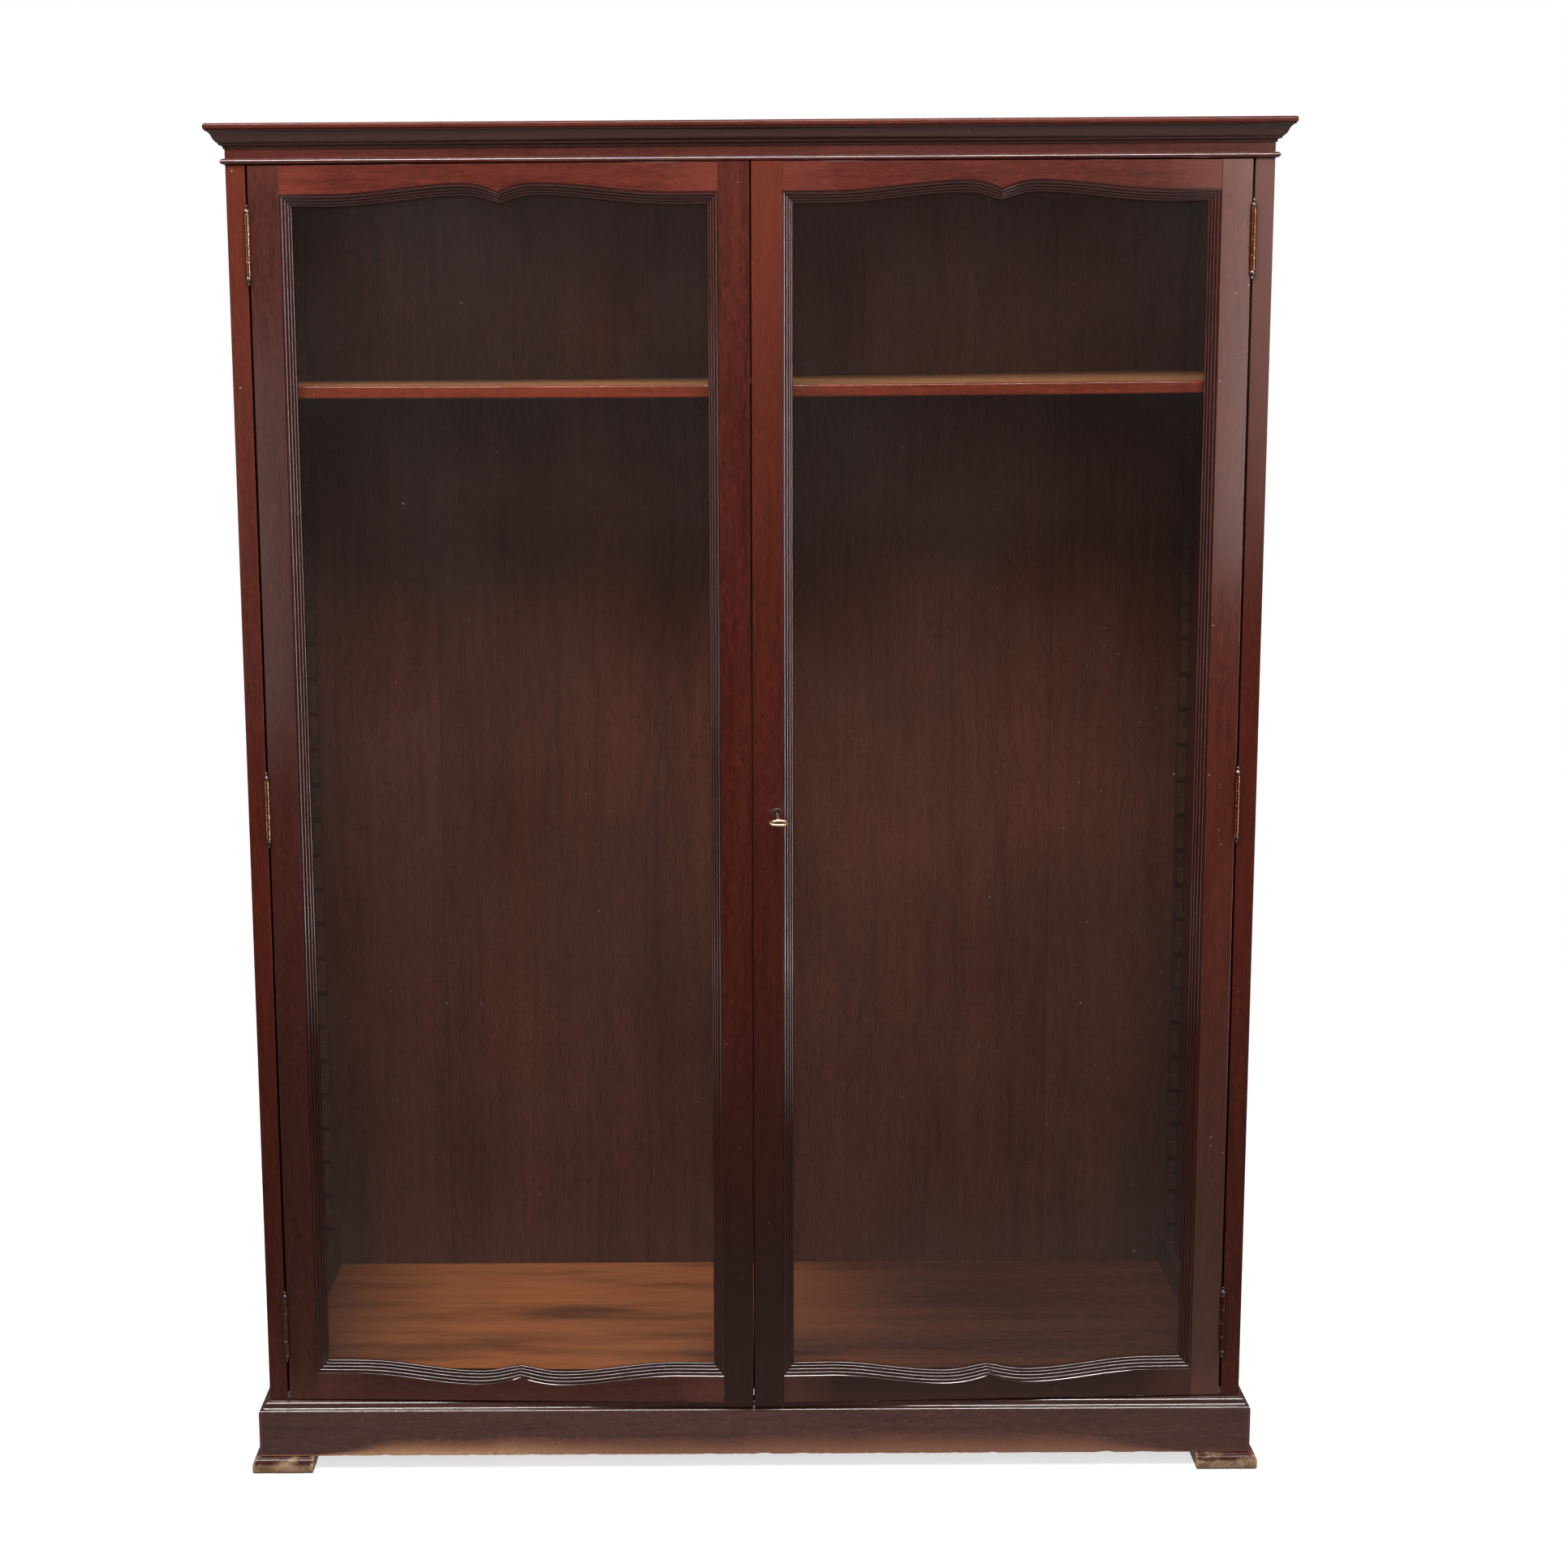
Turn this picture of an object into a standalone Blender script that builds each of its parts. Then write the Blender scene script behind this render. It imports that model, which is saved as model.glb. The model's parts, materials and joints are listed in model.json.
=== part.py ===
# Two-door glazed display cabinet in mahogany, modelled piece by piece.
# Units are metres, +Z is up, +X is to the right seen from the front and the
# front faces -Y.  Sizes are set out from the face of the carcass at Y = 0 and
# the floor at Z = 0; at the end all is moved back so that the origin lies on
# the floor under the middle of the whole object.
import bpy
import bmesh
import math
from mathutils import Vector, Matrix

# ------------------------------------------------------------------ sizes
CARCASS_W = 1.500          # over the two sides
CARCASS_D = 0.470          # face to the outside of the back
SIDE_T = 0.0275            # a side, seen as the narrow front stile
HEIGHT = 2.0375            # floor to the top board
FOOT_H = 0.0245
PLINTH_BOT = 0.0248
PLINTH_ARRIS = 0.0945      # top of the flat plinth face
PLINTH_TOP = 0.1102
PLINTH_OUT = 0.0155        # plinth face beyond the carcass
PLINTH_T = 0.0095          # plinth board inward of the carcass face
SIDE_BOT = 0.1105
FLOOR_TOP = 0.1460
FLOOR_T = 0.0200
TOP_IN = 1.9585            # underside of the inner top board
TOP_T = 0.0225
FRIEZE_BOT = 1.9815
FRIEZE_TOP = 2.0282
FRIEZE_T = 0.0220
BOARD_BOT = 2.0285         # cornice top board
BOARD_OUT = 0.0260
CROWN_BOT = 2.0035
BEAD_TOP = 1.9895
BEAD_OUT = 0.0065
BACK_T = 0.0080
BACK_JOINT_L = -0.5147     # joints between the three back boards
BACK_JOINT_R = 0.5078
GAP = 0.0003               # between pieces that touch
FACE_Y = -0.1965           # carcass face, with the origin under the middle of the object

DOOR_BOT = 0.1120
DOOR_TOP = 1.9800
DOOR_T = 0.0250
DOOR_EDGE = 0.7190         # hinge edge of a door, from the middle
MEET_GAP = 0.0010          # each door from the meeting line
MOULD_OUT = 0.6748         # outer line of the moulding, hinge side
MOULD_IN = 0.0457          # outer line of the moulding, meeting side
MOULD_TOP = 1.9383         # outer line at the top corners
MOULD_BOT = 0.1551         # outer line at the bottom corners
MOULD_W = 0.0160           # width of the reeded moulding
REBATE_Y = 0.0157          # depth of the face that holds the glass
GLASS_T = 0.0030
REB_TOP = 1.9440           # straight glass rebates in the two rails
REB_BOT = 0.1455
REB_SIDE = 0.0040          # rebate wall of a stile, inward of the moulding line
# The brace curve of a rail: rise and distance of its two humps, level of
# the middle point, and where the straight part begins.
TOP_CURVE = dict(hump=0.0143, at=0.0507, cusp=0.0014, flat=0.245)
BOT_CURVE = dict(hump=-0.0163, at=0.0640, cusp=-0.0046, flat=0.245)

PIN_X = 0.72075            # hinge pins
PIN_Y = -0.0042
PIN_R = 0.0018
KNUCKLE_R = 0.0040
KNUCKLE_BORE = 0.0021
BARREL = 0.0889            # 3 1/2 inch butts
LEAF_W = 0.0210
LEAF_T = 0.0012
HINGE_Z = (1.8674, 1.0420, 0.2310)
AJAR = math.radians(1.75)  # the doors stand a little open at rest

LOCK = Vector((0.0365, 0.0, 1.0370))   # keyhole centre on the right door
KEY_DROOP = math.radians(7.0)
KEY_PIVOT_Y = 0.0060
BOLT_THROW = 0.0090

SHELF_Z = 1.6480           # underside of the shelf
SHELF_T = 0.0190
STRIP_T = 0.0140           # sawtooth strips stand this far off the side
STRIP_FRONT = (0.0380, 0.0600)
STRIP_BACK = (0.3850, 0.4070)
STRIP_BOT = 0.1955
STRIP_TOP = 1.9580
NOTCH = 0.0070
PITCH = 0.0590
LEDGE_0 = 0.2069           # lowest ledge
BEARER_LEDGE = 24          # ledge that carries the shelf bearers

HALF = CARCASS_W / 2.0
INNER = HALF - SIDE_T      # inner face of a side

# ------------------------------------------------------------- start clean
for old in list(bpy.data.objects):
    bpy.data.objects.remove(old, do_unlink=True)
parts = bpy.data.collections.new("display_cabinet")
cutters = bpy.data.collections.new("cutters")
bpy.context.scene.collection.children.link(parts)
bpy.context.scene.collection.children.link(cutters)


# --------------------------------------------------------------- materials
def material(name, colour, rough, metal=0.0, alpha=1.0):
    m = bpy.data.materials.new(name)
    m.use_nodes = True
    b = m.node_tree.nodes["Principled BSDF"]
    b.inputs["Base Color"].default_value = (*colour, 1.0)
    b.inputs["Roughness"].default_value = rough
    b.inputs["Metallic"].default_value = metal
    b.inputs["Alpha"].default_value = alpha
    m.diffuse_color = (*colour, 1.0)
    return m


def wood(name, colour=(0.115, 0.030, 0.018), rough=0.32):
    return material(name, colour, rough)


# ----------------------------------------------------------------- helpers
def new_object(name, bm, mat, parent=None, shift=None, recalc=True):
    """Make an object of the mesh, its coordinates taken from the parent's axis."""
    bmesh.ops.remove_doubles(bm, verts=bm.verts, dist=1e-7)
    if recalc:
        bmesh.ops.recalc_face_normals(bm, faces=bm.faces)
    me = bpy.data.meshes.new(name)
    bm.to_mesh(me)
    bm.free()
    ob = bpy.data.objects.new(name, me)
    me.materials.append(mat)
    parts.objects.link(ob)
    if parent is not None:
        me.transform(Matrix.Translation(-Vector(shift)))
        ob.parent = parent
    return ob


def box_bm(lo, hi):
    bm = bmesh.new()
    bmesh.ops.create_cube(bm, size=1.0)
    lo, hi = Vector(lo), Vector(hi)
    size, mid = hi - lo, (hi + lo) / 2.0
    bmesh.ops.transform(bm, matrix=Matrix.Translation(mid) @ Matrix.Diagonal((*size, 1.0)),
                        verts=bm.verts)
    return bm


def soften(bm, width, segments, test):
    """Round the edges whose middle and direction pass the test."""
    edges = [e for e in bm.edges if test((e.verts[0].co + e.verts[1].co) / 2,
                                         (e.verts[1].co - e.verts[0].co).normalized())]
    if edges:
        bmesh.ops.bevel(bm, geom=edges, offset=width, segments=segments, profile=0.5,
                        affect='EDGES', clamp_overlap=True)


def prism_bm(outline, axis, lo, hi):
    """Extrude a flat outline of (a, b) points along X, Y or Z from lo to hi."""
    bm = bmesh.new()
    put = {'X': lambda a, b, c: (c, a, b),
           'Y': lambda a, b, c: (a, c, b),
           'Z': lambda a, b, c: (a, b, c)}[axis]
    verts = [bm.verts.new(put(a, b, lo)) for a, b in outline]
    face = bm.faces.new(verts)
    ext = bmesh.ops.extrude_face_region(bm, geom=[face])
    moved = [v for v in ext['geom'] if isinstance(v, bmesh.types.BMVert)]
    step = Vector(put(0.0, 0.0, hi - lo))
    bmesh.ops.translate(bm, verts=moved, vec=step)
    bmesh.ops.recalc_face_normals(bm, faces=bm.faces)
    return bm


def slice_bm(bm, point, normal):
    """Cut away what lies on the normal's side of a plane and close the cut."""
    geom = bm.verts[:] + bm.edges[:] + bm.faces[:]
    cut = bmesh.ops.bisect_plane(bm, geom=geom, dist=1e-7, plane_co=point,
                                 plane_no=normal, clear_outer=True)
    edges = [e for e in cut['geom_cut'] if isinstance(e, bmesh.types.BMEdge)]
    bmesh.ops.edgenet_fill(bm, edges=edges)
    bmesh.ops.recalc_face_normals(bm, faces=bm.faces)


def cylinder_bm(radius, lo, hi, centre, segments=20, axis='Z', radius2=None):
    bm = bmesh.new()
    bmesh.ops.create_cone(bm, cap_ends=True, segments=segments, radius1=radius,
                          radius2=radius if radius2 is None else radius2, depth=hi - lo)
    turn = Matrix.Identity(4)
    if axis == 'Y':
        turn = Matrix.Rotation(-math.pi / 2, 4, 'X')
    elif axis == 'X':
        turn = Matrix.Rotation(math.pi / 2, 4, 'Y')
    off = {'X': ((lo + hi) / 2, centre[0], centre[1]),
           'Y': (centre[0], (lo + hi) / 2, centre[1]),
           'Z': (centre[0], centre[1], (lo + hi) / 2)}[axis]
    bmesh.ops.transform(bm, matrix=Matrix.Translation(off) @ turn, verts=bm.verts)
    return bm


def cutter(name, bm):
    me = bpy.data.meshes.new(name)
    bmesh.ops.recalc_face_normals(bm, faces=bm.faces)
    bm.to_mesh(me)
    bm.free()
    ob = bpy.data.objects.new(name, me)
    cutters.objects.link(ob)
    ob.hide_render = True
    ob.display_type = 'WIRE'
    return ob


def combine(target, other, how):
    """Boolean modifier between an object and a wire guide."""
    if target.parent is not None:
        other.data.transform(Matrix.Translation(-pin_of[target.parent.name]))
        other.parent = target.parent
    mod = target.modifiers.new(how.lower(), 'BOOLEAN')
    mod.operation = how
    mod.solver = 'EXACT'
    mod.object = other
    return mod


def smooth(ob, angle=40.0):
    ob.data.shade_smooth()
    ob.data.set_sharp_from_angle(angle=math.radians(angle))


# ------------------------------------------------- joint axes of the doors
pin_of = {}


def door_axis(name, side):
    """Empty on the hinge line; side is -1 for the left door, +1 for the right."""
    e = bpy.data.objects.new(name, None)
    parts.objects.link(e)
    pin = Vector((side * PIN_X, PIN_Y, 0.0))
    e.location = pin
    e.rotation_euler = (0.0, 0.0, side * AJAR)
    pin_of[name] = pin
    return e


left_axis = door_axis("left_door_axis", -1)
right_axis = door_axis("right_door_axis", 1)

# ------------------------------------------------------------------ carcass
for side, label in ((-1, "left"), (1, "right")):
    x0, x1 = sorted((side * INNER, side * HALF))
    bm = box_bm((x0, 0.0, SIDE_BOT), (x1, CARCASS_D, FRIEZE_TOP))
    soften(bm, 0.0010, 1, lambda m, d, x=side * HALF:
           abs(d.z) > 0.9 and m.y < 0.01 and abs(m.x - x) < 1e-4)
    ob = new_object("side_panel_" + label, bm, wood("side_" + label))
    rebate = cutter("frieze_housing_" + label,
                    box_bm((x0 - 0.01, -0.01, FRIEZE_BOT - GAP),
                           (x1 + 0.01, FRIEZE_T + GAP, FRIEZE_TOP + 0.01)))
    combine(ob, rebate, 'DIFFERENCE')

bm = box_bm((-INNER + GAP, 0.0300, FLOOR_TOP - FLOOR_T), (INNER - GAP, 0.4617, FLOOR_TOP))
soften(bm, 0.0015, 2, lambda m, d: abs(d.x) > 0.9 and m.y < 0.031 and m.z > FLOOR_TOP - 0.001)
bottom = new_object("bottom_board", bm, wood("bottom_board", (0.19, 0.060, 0.028), 0.38))
rail = cutter("bottom_front_lip",
              box_bm((-INNER + GAP, 0.0300, SIDE_BOT), (INNER - GAP, 0.0500, FLOOR_TOP - 0.004)))
combine(bottom, rail, 'UNION')

new_object("inner_top_board",
           box_bm((-INNER + GAP, 0.0300, TOP_IN), (INNER - GAP, 0.4617, TOP_IN + TOP_T)),
           wood("inner_top", (0.09, 0.028, 0.018), 0.45))

backs = (("left", -INNER + GAP, BACK_JOINT_L), ("centre", BACK_JOINT_L + GAP, BACK_JOINT_R),
         ("right", BACK_JOINT_R + GAP, INNER - GAP))
for label, a, b in backs:
    bm = box_bm((a, CARCASS_D - BACK_T, SIDE_BOT), (b, CARCASS_D, FRIEZE_TOP))
    new_object("back_board_" + label, bm, wood("back_" + label, (0.060, 0.024, 0.018), 0.5))

new_object("frieze_rail",
           box_bm((-HALF, 0.0, FRIEZE_BOT), (HALF, FRIEZE_T, FRIEZE_TOP)), wood("frieze"))


# ------------------------------------------------- mitred carcass mouldings
def crown_outline():
    """Crown section as (out, up): quirk, fillet, cyma and top fillet."""
    pts = [(GAP, CROWN_BOT), (0.0022, CROWN_BOT), (0.0022, CROWN_BOT + 0.0030)]
    for i in range(1, 4):                               # small hollow
        a = math.pi / 2 * i / 3
        pts.append((0.0022 + 0.0053 * (1 - math.cos(a)), CROWN_BOT + 0.0030 + 0.0020 * math.sin(a)))
    pts.append((0.0075, CROWN_BOT + 0.0073))
    n, p0, p1, z0, z1 = 10, 0.0085, 0.0215, CROWN_BOT + 0.0073, FRIEZE_TOP - 0.0012
    for i in range(n + 1):
        t = i / n
        pts.append((p0 + (p1 - p0) * (t + 0.080 * math.sin(2 * math.pi * t)), z0 + (z1 - z0) * t))
    pts += [(0.0235, z1), (0.0235, FRIEZE_TOP), (GAP, FRIEZE_TOP)]
    return pts


def bead_outline():
    """Half-round astragal under the frieze."""
    mid, r = (BEAD_TOP + FRIEZE_BOT) / 2, (BEAD_TOP - FRIEZE_BOT) / 2
    pts = [(GAP, FRIEZE_BOT)]
    for i in range(9):
        a = -math.pi / 2 + math.pi * i / 8
        pts.append((0.0012 + (BEAD_OUT - 0.0012) * math.cos(a), mid + r * math.sin(a)))
    pts.append((GAP, BEAD_TOP))
    return pts


def plinth_outline():
    """Plinth board with its stuck moulding, as (out, up)."""
    pts = [(-PLINTH_T, PLINTH_BOT), (PLINTH_OUT, PLINTH_BOT), (PLINTH_OUT, PLINTH_ARRIS)]
    for i in range(1, 5):                               # lower bead
        a = math.pi / 2 * i / 4
        pts.append((PLINTH_OUT - 0.0037 * (1 - math.cos(a)), PLINTH_ARRIS + 0.0040 * math.sin(a)))
    for i in range(1, 5):                               # hollow
        a = math.pi / 2 * i / 4
        pts.append((PLINTH_OUT - 0.0037 - 0.0046 * math.sin(a),
                    PLINTH_ARRIS + 0.0040 + 0.0050 * (1 - math.cos(a))))
    for i in range(1, 6):                               # upper ovolo
        a = math.pi / 2 * i / 5
        pts.append((PLINTH_OUT - 0.0083 - 0.0050 * (1 - math.cos(a)),
                    PLINTH_ARRIS + 0.0090 + 0.0052 * math.sin(a)))
    pts += [(GAP, PLINTH_TOP), (-PLINTH_T, PLINTH_TOP)]
    return pts


def run_front(name, outline, mat, y_face=0.0):
    """Straight run along the front, mitred at both corners."""
    bm = prism_bm([(y_face - p, z) for p, z in outline], 'X', -HALF - 0.06, HALF + 0.06)
    for s in (-1, 1):
        slice_bm(bm, (s * (HALF - GAP * 0.5), y_face, 0.0), Vector((s, 1.0, 0.0)).normalized())
    ob = new_object(name, bm, mat)
    smooth(ob)
    return ob


def run_side(name, outline, mat, side, y_end=CARCASS_D, back_mitre=False):
    """Return run along a side, mitred at the front corner."""
    bm = prism_bm([(side * (HALF + p), z) for p, z in outline], 'Y', -0.06,
                  y_end + (0.06 if back_mitre else 0.0))
    slice_bm(bm, (side * (HALF + GAP * 0.5), 0.0, 0.0), Vector((-side, -1.0, 0.0)).normalized())
    if back_mitre:
        slice_bm(bm, (side * (HALF + GAP * 0.5), y_end, 0.0),
                 Vector((-side, 1.0, 0.0)).normalized())
    ob = new_object(name, bm, mat)
    smooth(ob)
    return ob


run_front("cornice_front", crown_outline(), wood("cornice_f"))
run_side("cornice_left", crown_outline(), wood("cornice_l"), -1)
run_side("cornice_right", crown_outline(), wood("cornice_r"), 1)
run_front("astragal_front", bead_outline(), wood("astragal_f"))
run_side("astragal_left", bead_outline(), wood("astragal_l"), -1)
run_side("astragal_right", bead_outline(), wood("astragal_r"), 1)

bm = box_bm((-HALF - BOARD_OUT, -BOARD_OUT, BOARD_BOT), (HALF + BOARD_OUT, CARCASS_D, HEIGHT))
soften(bm, 0.0012, 2, lambda m, d: m.y < CARCASS_D - 0.001 and abs(d.z) < 0.5 and m.z > HEIGHT - 1e-4)
new_object("cornice_top_board", bm, wood("top_board"))

run_front("plinth_front", plinth_outline(), wood("plinth_f"))
run_side("plinth_left", plinth_outline(), wood("plinth_l"), -1)
run_side("plinth_right", plinth_outline(), wood("plinth_r"), 1)
new_object("plinth_back",
           box_bm((-HALF + PLINTH_T + GAP, CARCASS_D - 0.0250, PLINTH_BOT),
                  (HALF - PLINTH_T - GAP, CARCASS_D, PLINTH_TOP)),
           wood("plinth_b", (0.10, 0.04, 0.025), 0.6))

# --------------------------------------------------------------------- feet
FOOT_W = 0.0940
for sx, lx in ((-1, "left"), (1, "right")):
    for sy, ly in ((-1, "front"), (1, "rear")):
        xo = sx * (HALF + PLINTH_OUT + 0.0105)
        xi = xo - sx * FOOT_W
        if sy < 0:
            y0, y1 = -PLINTH_OUT - 0.0105, -PLINTH_OUT - 0.0105 + FOOT_W
        else:
            y0, y1 = CARCASS_D - FOOT_W, CARCASS_D
        bm = box_bm((min(xo, xi), y0, 0.0), (max(xo, xi), y1, FOOT_H))
        outer_y = y0 if sy < 0 else None

        def upper(m, d, xo=xo, oy=outer_y):
            on_out = abs(m.x - xo) < 1e-4 or (oy is not None and abs(m.y - oy) < 1e-4)
            return m.z > FOOT_H - 1e-4 and abs(d.z) < 0.1 and on_out

        soften(bm, 0.0105, 4, upper)
        soften(bm, 0.0050, 3, lambda m, d: m.z < 1e-4)
        ob = new_object("foot_%s_%s" % (ly, lx), bm, wood("foot_%s_%s" % (ly, lx),
                                                        (0.20, 0.085, 0.045), 0.55))
        smooth(ob, 50)


# -------------------------------------------------------------------- doors
def reeds(n):
    """Section of the stepped reeds as (inward, deep), after the flat's arris."""
    pts = []
    for w0, w1, y0, dy in ((0.0003, 0.0050, 0.0010, 0.0036), (0.0050, 0.0090, 0.0052, 0.0032),
                           (0.0090, 0.0125, 0.0090, 0.0028), (0.0125, 0.0160, 0.0124, 0.0029)):
        for i in range(n + 1):
            a = math.pi / 2 * i / n
            pts.append((w0 + (w1 - w0) * math.sin(a), y0 + dy * (1 - math.cos(a))))
    pts.append((MOULD_W, REBATE_Y))
    return pts


def brace(d, c):
    """Level of the rail's edge at a distance d from the middle of the door."""
    if d >= c['flat']:
        return 0.0
    if d >= c['at']:
        t = (d - c['at']) / (c['flat'] - c['at'])
        return c['hump'] * (1 - t * t * (3 - 2 * t))
    return c['hump'] + (c['cusp'] - c['hump']) * (1 - d / c['at']) ** 2


def slope(d, c):
    """Slope of the same edge."""
    if d >= c['flat']:
        return 0.0
    if d >= c['at']:
        t = (d - c['at']) / (c['flat'] - c['at'])
        return -c['hump'] * 6 * t * (1 - t) / (c['flat'] - c['at'])
    return -2 * (c['cusp'] - c['hump']) / c['at'] * (1 - d / c['at'])


def rail_mesh(xa, xb, base, edge, rebate, curve, up):
    """Loft of a door rail: flat, brace-curved moulding and glass rebate.

    base is the moulding's outer line, edge the door's edge, up is +1 for the
    top rail, whose moulding points down, and -1 for the bottom rail.
    """
    mid = (xa + xb) / 2
    half = (xb - xa) / 2
    ds = [half]
    n_s, n_c = 9, 5
    ds += [curve['flat'] + (curve['at'] - curve['flat']) * i / n_s for i in range(n_s)]
    ds += [curve['at'] * (1 - i / n_c) for i in range(n_c)]
    stations = [mid - d for d in ds] + [mid] + [mid + d for d in reversed(ds)]
    profile = [(0.0, 0.0)] + reeds(2)
    bm = bmesh.new()
    rings = []
    for k, x in enumerate(stations):
        d = abs(x - mid)
        z = base + brace(d, curve)
        stretch = math.sqrt(1 + slope(d, curve) ** 2) * (1 - 0.16 * math.exp(-(d / 0.012) ** 2))
        end = -1 if k == 0 else (1 if k == len(stations) - 1 else 0)
        ring = [bm.verts.new((x, 0.0, edge))]
        for w, y in profile:
            ring.append(bm.verts.new((x - end * w, y, z - up * w * stretch)))
        back = min(z, rebate - 0.0005) if up > 0 else max(z, rebate + 0.0005)
        ring.append(bm.verts.new((x, REBATE_Y, back)))
        ring.append(bm.verts.new((x, REBATE_Y, rebate)))
        ring.append(bm.verts.new((x, DOOR_T, rebate)))
        ring.append(bm.verts.new((x, DOOR_T, edge)))
        rings.append(ring)
    n = len(rings[0])
    for a, b in zip(rings, rings[1:]):
        for i in range(n):
            j = (i + 1) % n
            bm.faces.new((a[i], a[j], b[j], b[i]))
    for r in (rings[0], rings[-1]):
        last = len(profile) + 1
        bm.faces.new([r[0], r[1]] + r[last:])            # flat butt end
        bm.faces.new(r[1:last + 1])                      # mitred end
    return bm


def stile_mesh(xe, xw, inward):
    """Flat of a stile from its edge xe to the moulding line xw."""
    a, b = sorted((xe, xw))
    return box_bm((a, 0.0, DOOR_BOT), (b, DOOR_T, DOOR_TOP))


def stile_moulding(xw, inward):
    """Reeded strip of a stile, mitred at both ends; inward is the glass side."""
    pts = ([(-0.0030, 0.0010)] + reeds(3) + [(REB_SIDE, REBATE_Y), (REB_SIDE, DOOR_T - GAP),
                                             (-0.0030, DOOR_T - GAP)])
    bm = prism_bm([(xw + inward * w, y) for w, y in pts], 'Z', DOOR_BOT - 0.02, DOOR_TOP + 0.02)
    slice_bm(bm, (xw, 0.0, MOULD_BOT), Vector((inward, 0.0, -1.0)).normalized())
    slice_bm(bm, (xw, 0.0, MOULD_TOP), Vector((inward, 0.0, 1.0)).normalized())
    return bm


def make_door(side, label, axis):
    pin = pin_of[axis.name]
    xa, xb = side * MOULD_OUT, side * MOULD_IN           # moulding lines
    for part, xe, xw, inward in (("hinge_stile", side * DOOR_EDGE, xa, -side),
                                 ("meeting_stile", side * MEET_GAP, xb, side)):
        bm = stile_mesh(xe, xw, inward)
        soften(bm, 0.0006, 1, lambda m, d, x=xe: abs(d.z) > 0.9 and m.y < 1e-4
               and abs(m.x - x) < 1e-4)
        ob = new_object("%s_door_%s" % (label, part), bm, wood("%s_%s" % (label, part)),
                        axis, pin)
        combine(ob, cutter("%s_%s_reeds" % (label, part), stile_moulding(xw, inward)), 'UNION')
    x0, x1 = sorted((xa, xb))
    x0, x1 = x0 + GAP, x1 - GAP
    ob = new_object("%s_door_top_rail" % label,
                    rail_mesh(x0, x1, MOULD_TOP, DOOR_TOP, REB_TOP, TOP_CURVE, 1),
                    wood(label + "_top_rail", (0.16, 0.035, 0.02)), axis, pin)
    smooth(ob)
    ob = new_object("%s_door_bottom_rail" % label,
                    rail_mesh(x0, x1, MOULD_BOT, DOOR_BOT, REB_BOT, BOT_CURVE, -1),
                    wood(label + "_bottom_rail"), axis, pin)
    smooth(ob)
    gx0, gx1 = x0 + REB_SIDE + 0.0007, x1 - REB_SIDE - 0.0007
    gy0 = REBATE_Y + GAP
    glass = material(label + "_glass", (0.92, 0.95, 0.94), 0.02, 0.0, 0.15)
    new_object("%s_door_glass" % label,
               box_bm((gx0, gy0, REB_BOT + GAP * 2), (gx1, gy0 + GLASS_T, REB_TOP - GAP * 2)),
               glass, axis, pin)
    by0, by1 = gy0 + GLASS_T + GAP, DOOR_T - 0.0005
    ob = new_object("%s_door_glazing_bead" % label,
                    box_bm((gx0, by0, REB_BOT + GAP * 2), (gx1, by1, REB_TOP - GAP * 2)),
                    wood(label + "_bead"), axis, pin)
    ww = 0.0080
    combine(ob, cutter(label + "_bead_opening",
                       box_bm((gx0 + ww, by0 - 0.01, REB_BOT + ww),
                              (gx1 - ww, by1 + 0.01, REB_TOP - ww))), 'DIFFERENCE')


make_door(-1, "left", left_axis)
make_door(1, "right", right_axis)


# ------------------------------------------------------------------- hinges
def turned(profile, centre, segments=16):
    """Solid turned about Z from (radius, height) points, bottom to top."""
    bm = bmesh.new()
    rings = []
    for r, z in profile:
        if r < 1e-6:
            rings.append([bm.verts.new((centre[0], centre[1], z))])
        else:
            rings.append([bm.verts.new((centre[0] + r * math.cos(2 * math.pi * i / segments),
                                        centre[1] + r * math.sin(2 * math.pi * i / segments), z))
                          for i in range(segments)])
    for a, b in zip(rings, rings[1:]):
        for i in range(segments):
            j = (i + 1) % segments
            if len(a) == 1:
                bm.faces.new((a[0], b[j], b[i]))
            elif len(b) == 1:
                bm.faces.new((a[i], a[j], b[0]))
            else:
                bm.faces.new((a[i], a[j], b[j], b[i]))
    return bm


def join_bm(bm, other):
    me = bpy.data.meshes.new("join")
    other.to_mesh(me)
    other.free()
    bm.from_mesh(me)
    bpy.data.meshes.remove(me)


def knuckle_profile(z0, knuckles):
    """Pin with its solid knuckles and an urn finial at each end."""
    k = BARREL / 4
    f = 0.0135
    prof = [(0.0, z0 - f), (0.0013, z0 - f + 0.0008), (0.0019, z0 - f + 0.0026),
            (0.0014, z0 - f + 0.0044), (0.0016, z0 - f + 0.0052), (0.0036, z0 - f + 0.0078),
            (0.0041, z0 - f + 0.0100), (0.0036, z0 - f + 0.0122), (0.0030, z0 - 0.0004),
            (0.0030, z0)]
    low = [(r, z) for r, z in prof]
    high = [(r, 2 * z0 + BARREL - z) for r, z in reversed(prof)]
    mid = []
    for i in range(4):
        a, b = z0 + i * k, z0 + (i + 1) * k
        if i in knuckles:
            mid += [(KNUCKLE_R, a + 0.00015), (KNUCKLE_R, b - 0.00015)]
        else:
            mid += [(PIN_R, a - 0.00015), (PIN_R, b + 0.00015)]
    return low, mid, high


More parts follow.
